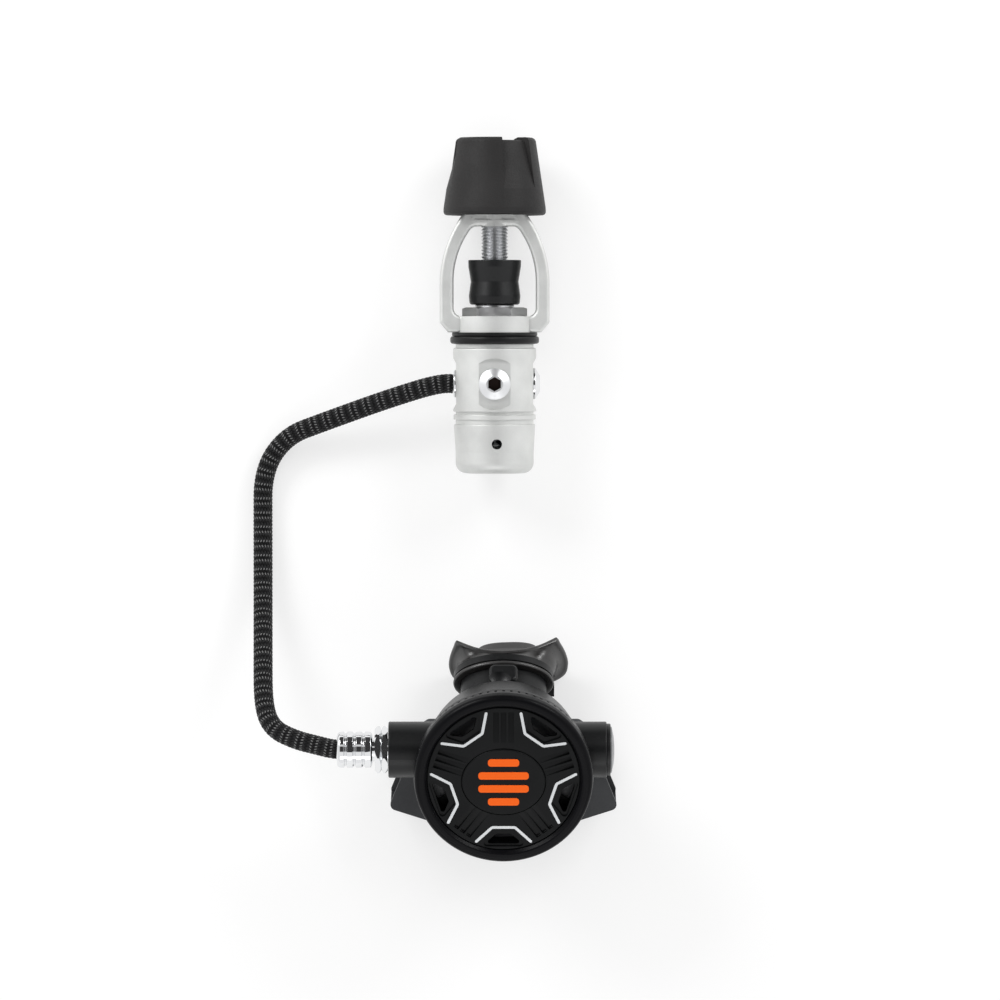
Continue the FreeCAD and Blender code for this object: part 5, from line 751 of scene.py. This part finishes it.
def flange_reach():
    """Angles and reaches from the flange's middle to a smooth line through its points."""
    left = [(-x, up) for x, up in reversed(FLANGE_HALF[1:-1])]
    stations = [Vector(point) for point in FLANGE_HALF + left]
    found = []
    for number, start in enumerate(stations):
        before = stations[number - 1]
        end = stations[(number + 1) % len(stations)]
        after = stations[(number + 2) % len(stations)]
        for step in range(8):
            t = step / 8
            point = 0.5 * (2 * start + (end - before) * t
                           + (2 * before - 5 * start + 4 * end - after) * t ** 2
                           + (3 * start - before - 3 * end + after) * t ** 3)
            away = point - FLANGE_MIDDLE
            found.append((math.atan2(away.y, away.x) % WHOLE_TURN, away.length))
    found.sort()
    return [angle for angle, _ in found], [reach for _, reach in found]


def flange_ring(inset, behind):
    """The flange's outline, drawn in by a distance, at a depth behind its front."""
    angles, reaches = flange_reach()
    ring = []
    for number in range(RING_POINTS):
        angle = WHOLE_TURN * number / RING_POINTS
        reach = float(numpy.interp(angle, angles, reaches, period=WHOLE_TURN)) - inset
        x = FLANGE_MIDDLE.x + reach * math.cos(angle)
        up = FLANGE_MIDDLE.y + reach * math.sin(angle)
        ring.append(Vector((x, up, bent(x, behind))))
    return ring


def bent(x, behind):
    """Place along the tube of the bent flange."""
    return FLANGE_START + behind + x * x / (2 * FLANGE_BEND_RADIUS)


def between(first, last, share_across, share_along):
    """A ring between two others."""
    ring = []
    for start, end in zip(first, last):
        across = start.lerp(end, share_across(start, end))
        along = start.lerp(end, share_along(start, end))
        ring.append(Vector((across.x, across.y, along.z)))
    return ring


def flare(first, last, steps):
    """Rings that leave a tube along its axis and open like a trumpet, where they open at all."""
    rings = []
    for step in range(1, steps):
        t = step / steps

        def power(start, end):
            opening = end.xy.length - start.xy.length
            return 1 + min(max(opening / 5 + 0.4, 0.0), 1.0)

        rings.append(between(first, last, lambda a, b: t ** power(a, b),
                             lambda a, b: 1 - (1 - t) ** power(a, b)))
    return rings


def settled(point):
    """The flange sits a little to the right on its tube, and slightly turned."""
    share = min(max((point.z - 51.0) / 6.0, 0.0), 1.0)
    share = share * share * (3 - 2 * share)
    turned = Matrix.Rotation(math.radians(2.8) * share, 3, "Z") @ point
    return Vector((turned.x + 2.0 * share, -turned.y, turned.z))


# Bite tab: half of its width and thickness, place along the tube and height above its axis
BITE_MIDDLE = 16.05
BITE_SECTIONS = (
    (4.9, 1.2, 57.4, -8.1), (5.4, 1.6, 60.0, -8.1), (5.4, 1.5, 64.9, -8.1), (5.4, 2.1, 65.9, -8.4),
    (5.4, 2.3, 66.7, -8.45), (5.3, 2.2, 67.9, -8.45), (4.7, 1.5, 68.5, -8.45),
)


def mould_mouthpiece():
    """Sleeve with a bead, lip flange with two ears, air spout and two bite tabs, in one skin."""
    wide, high = 21.6, 14.0
    rings = [oval(wide + grow, high + grow, along) for grow, along in (
        (0.5, 46.5), (1.0, 46.9), (1.15, 47.5), (1.0, 48.1), (0.3, 48.6), (0.0, 49.0), (0.0, 52.4),
    )]
    front = flange_ring(0.5, 0.0)
    rings += flare(rings[-1], front, 12)
    back = flange_ring(0.7, FLANGE_THICKNESS)
    rings += [front, flange_ring(0.1, 0.35), flange_ring(0.0, 1.0), flange_ring(0.15, 1.7), back]
    root = oval(15.2, 8.2, 0.0, 2.6)
    for step in range(1, 8):
        share = step / 7
        ring = between(back, root, lambda a, b: share, lambda a, b: 0.0)
        rings.append([Vector((point.x, point.y, bent(point.x, FLANGE_THICKNESS)))
                      for point in ring])
    rings += [oval(14.0 - trim, 7.0 - trim, along, 2.6) for trim, along in (
        (-0.3, 61.6), (0.0, 62.4), (0.0, 65.2), (0.3, 65.9), (0.9, 66.2), (1.6, 65.9), (2.0, 65.2),
    )]
    rings += [oval(12.0, 5.0, 60.0, 2.6), oval(12.4, 5.4, 57.0, 2.4), oval(15.0, 8.0, 54.6),
              oval(19.6, 12.0, 52.4), oval(19.6, 12.0, 46.6)]
    body = skin("soft_mouthpiece", [[settled(point) for point in ring] for ring in rings],
                mouth_frame(), True, FINISHES["silicone"])
    for side in (1, -1):
        tab_rings = [oval(half_width, half_thickness, along, 5.0, (BITE_MIDDLE * side, up))
                     for half_width, half_thickness, along, up in BITE_SECTIONS]
        tab = skin("bite_tab", [[settled(point) for point in ring] for ring in tab_rings],
                   mouth_frame(), False, FINISHES["silicone"])
        union = body.modifiers.new("tab", "BOOLEAN")
        union.operation = "UNION"
        union.object = tab
        bpy.context.view_layer.update()
        joined = made_mesh(body, "soft_mouthpiece")
        bpy.data.objects.remove(body)
        bpy.data.objects.remove(tab)
        body = joined
    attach(body, "second_stage")
    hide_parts("mouthpiece")


def disc_rings(profile):
    """Circles of the stated radii and heights."""
    return [oval(radius, radius, height) for radius, height in profile]


def mould_diaphragm():
    """Thin disc with a rolled fold, held at its rim under the clamp ring."""
    front, thickness, fold, depth = -12.7, 0.8, 25.0, 1.4
    radii = [0.8 * (step + 1) for step in range(42)]

    def face(radius, down):
        return radius, front - down - depth * math.exp(-((radius - fold) / 2.0) ** 2)

    profile = [face(radius, 0.0) for radius in radii]
    profile += [(34.0, front - 0.1), (34.0, front - thickness + 0.1)]
    profile += [face(radius, thickness) for radius in reversed(radii)]
    piece = skin("soft_diaphragm", disc_rings(profile), stage_frame(), False,
                 FINISHES["clear_silicone"])
    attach(piece, "second_stage")
    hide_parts("diaphragm")


def mould_exhaust_valve():
    """Mushroom valve with a thin lip and a barbed stem through the case."""
    profile = [(0.5, -0.9), (9.4, -0.9), (10.5, -0.84), (10.8, -0.6), (10.7, -0.36), (10.3, -0.27),
               (7.8, 0.0), (1.7, 0.0), (1.4, 0.2), (1.4, 2.3), (1.6, 2.42), (2.0, 2.5), (1.9, 3.2),
               (1.1, 4.2), (0.4, 4.6)]
    place = stage_frame() @ Matrix.Translation((0.0, -EXHAUST_Y, -CASE_DEPTH))
    piece = skin("soft_exhaust_valve", disc_rings(profile), place, False, FINISHES["silicone"])
    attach(piece, "second_stage")
    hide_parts("exhaust_valve")


mould_mouthpiece()
mould_diaphragm()
mould_exhaust_valve()
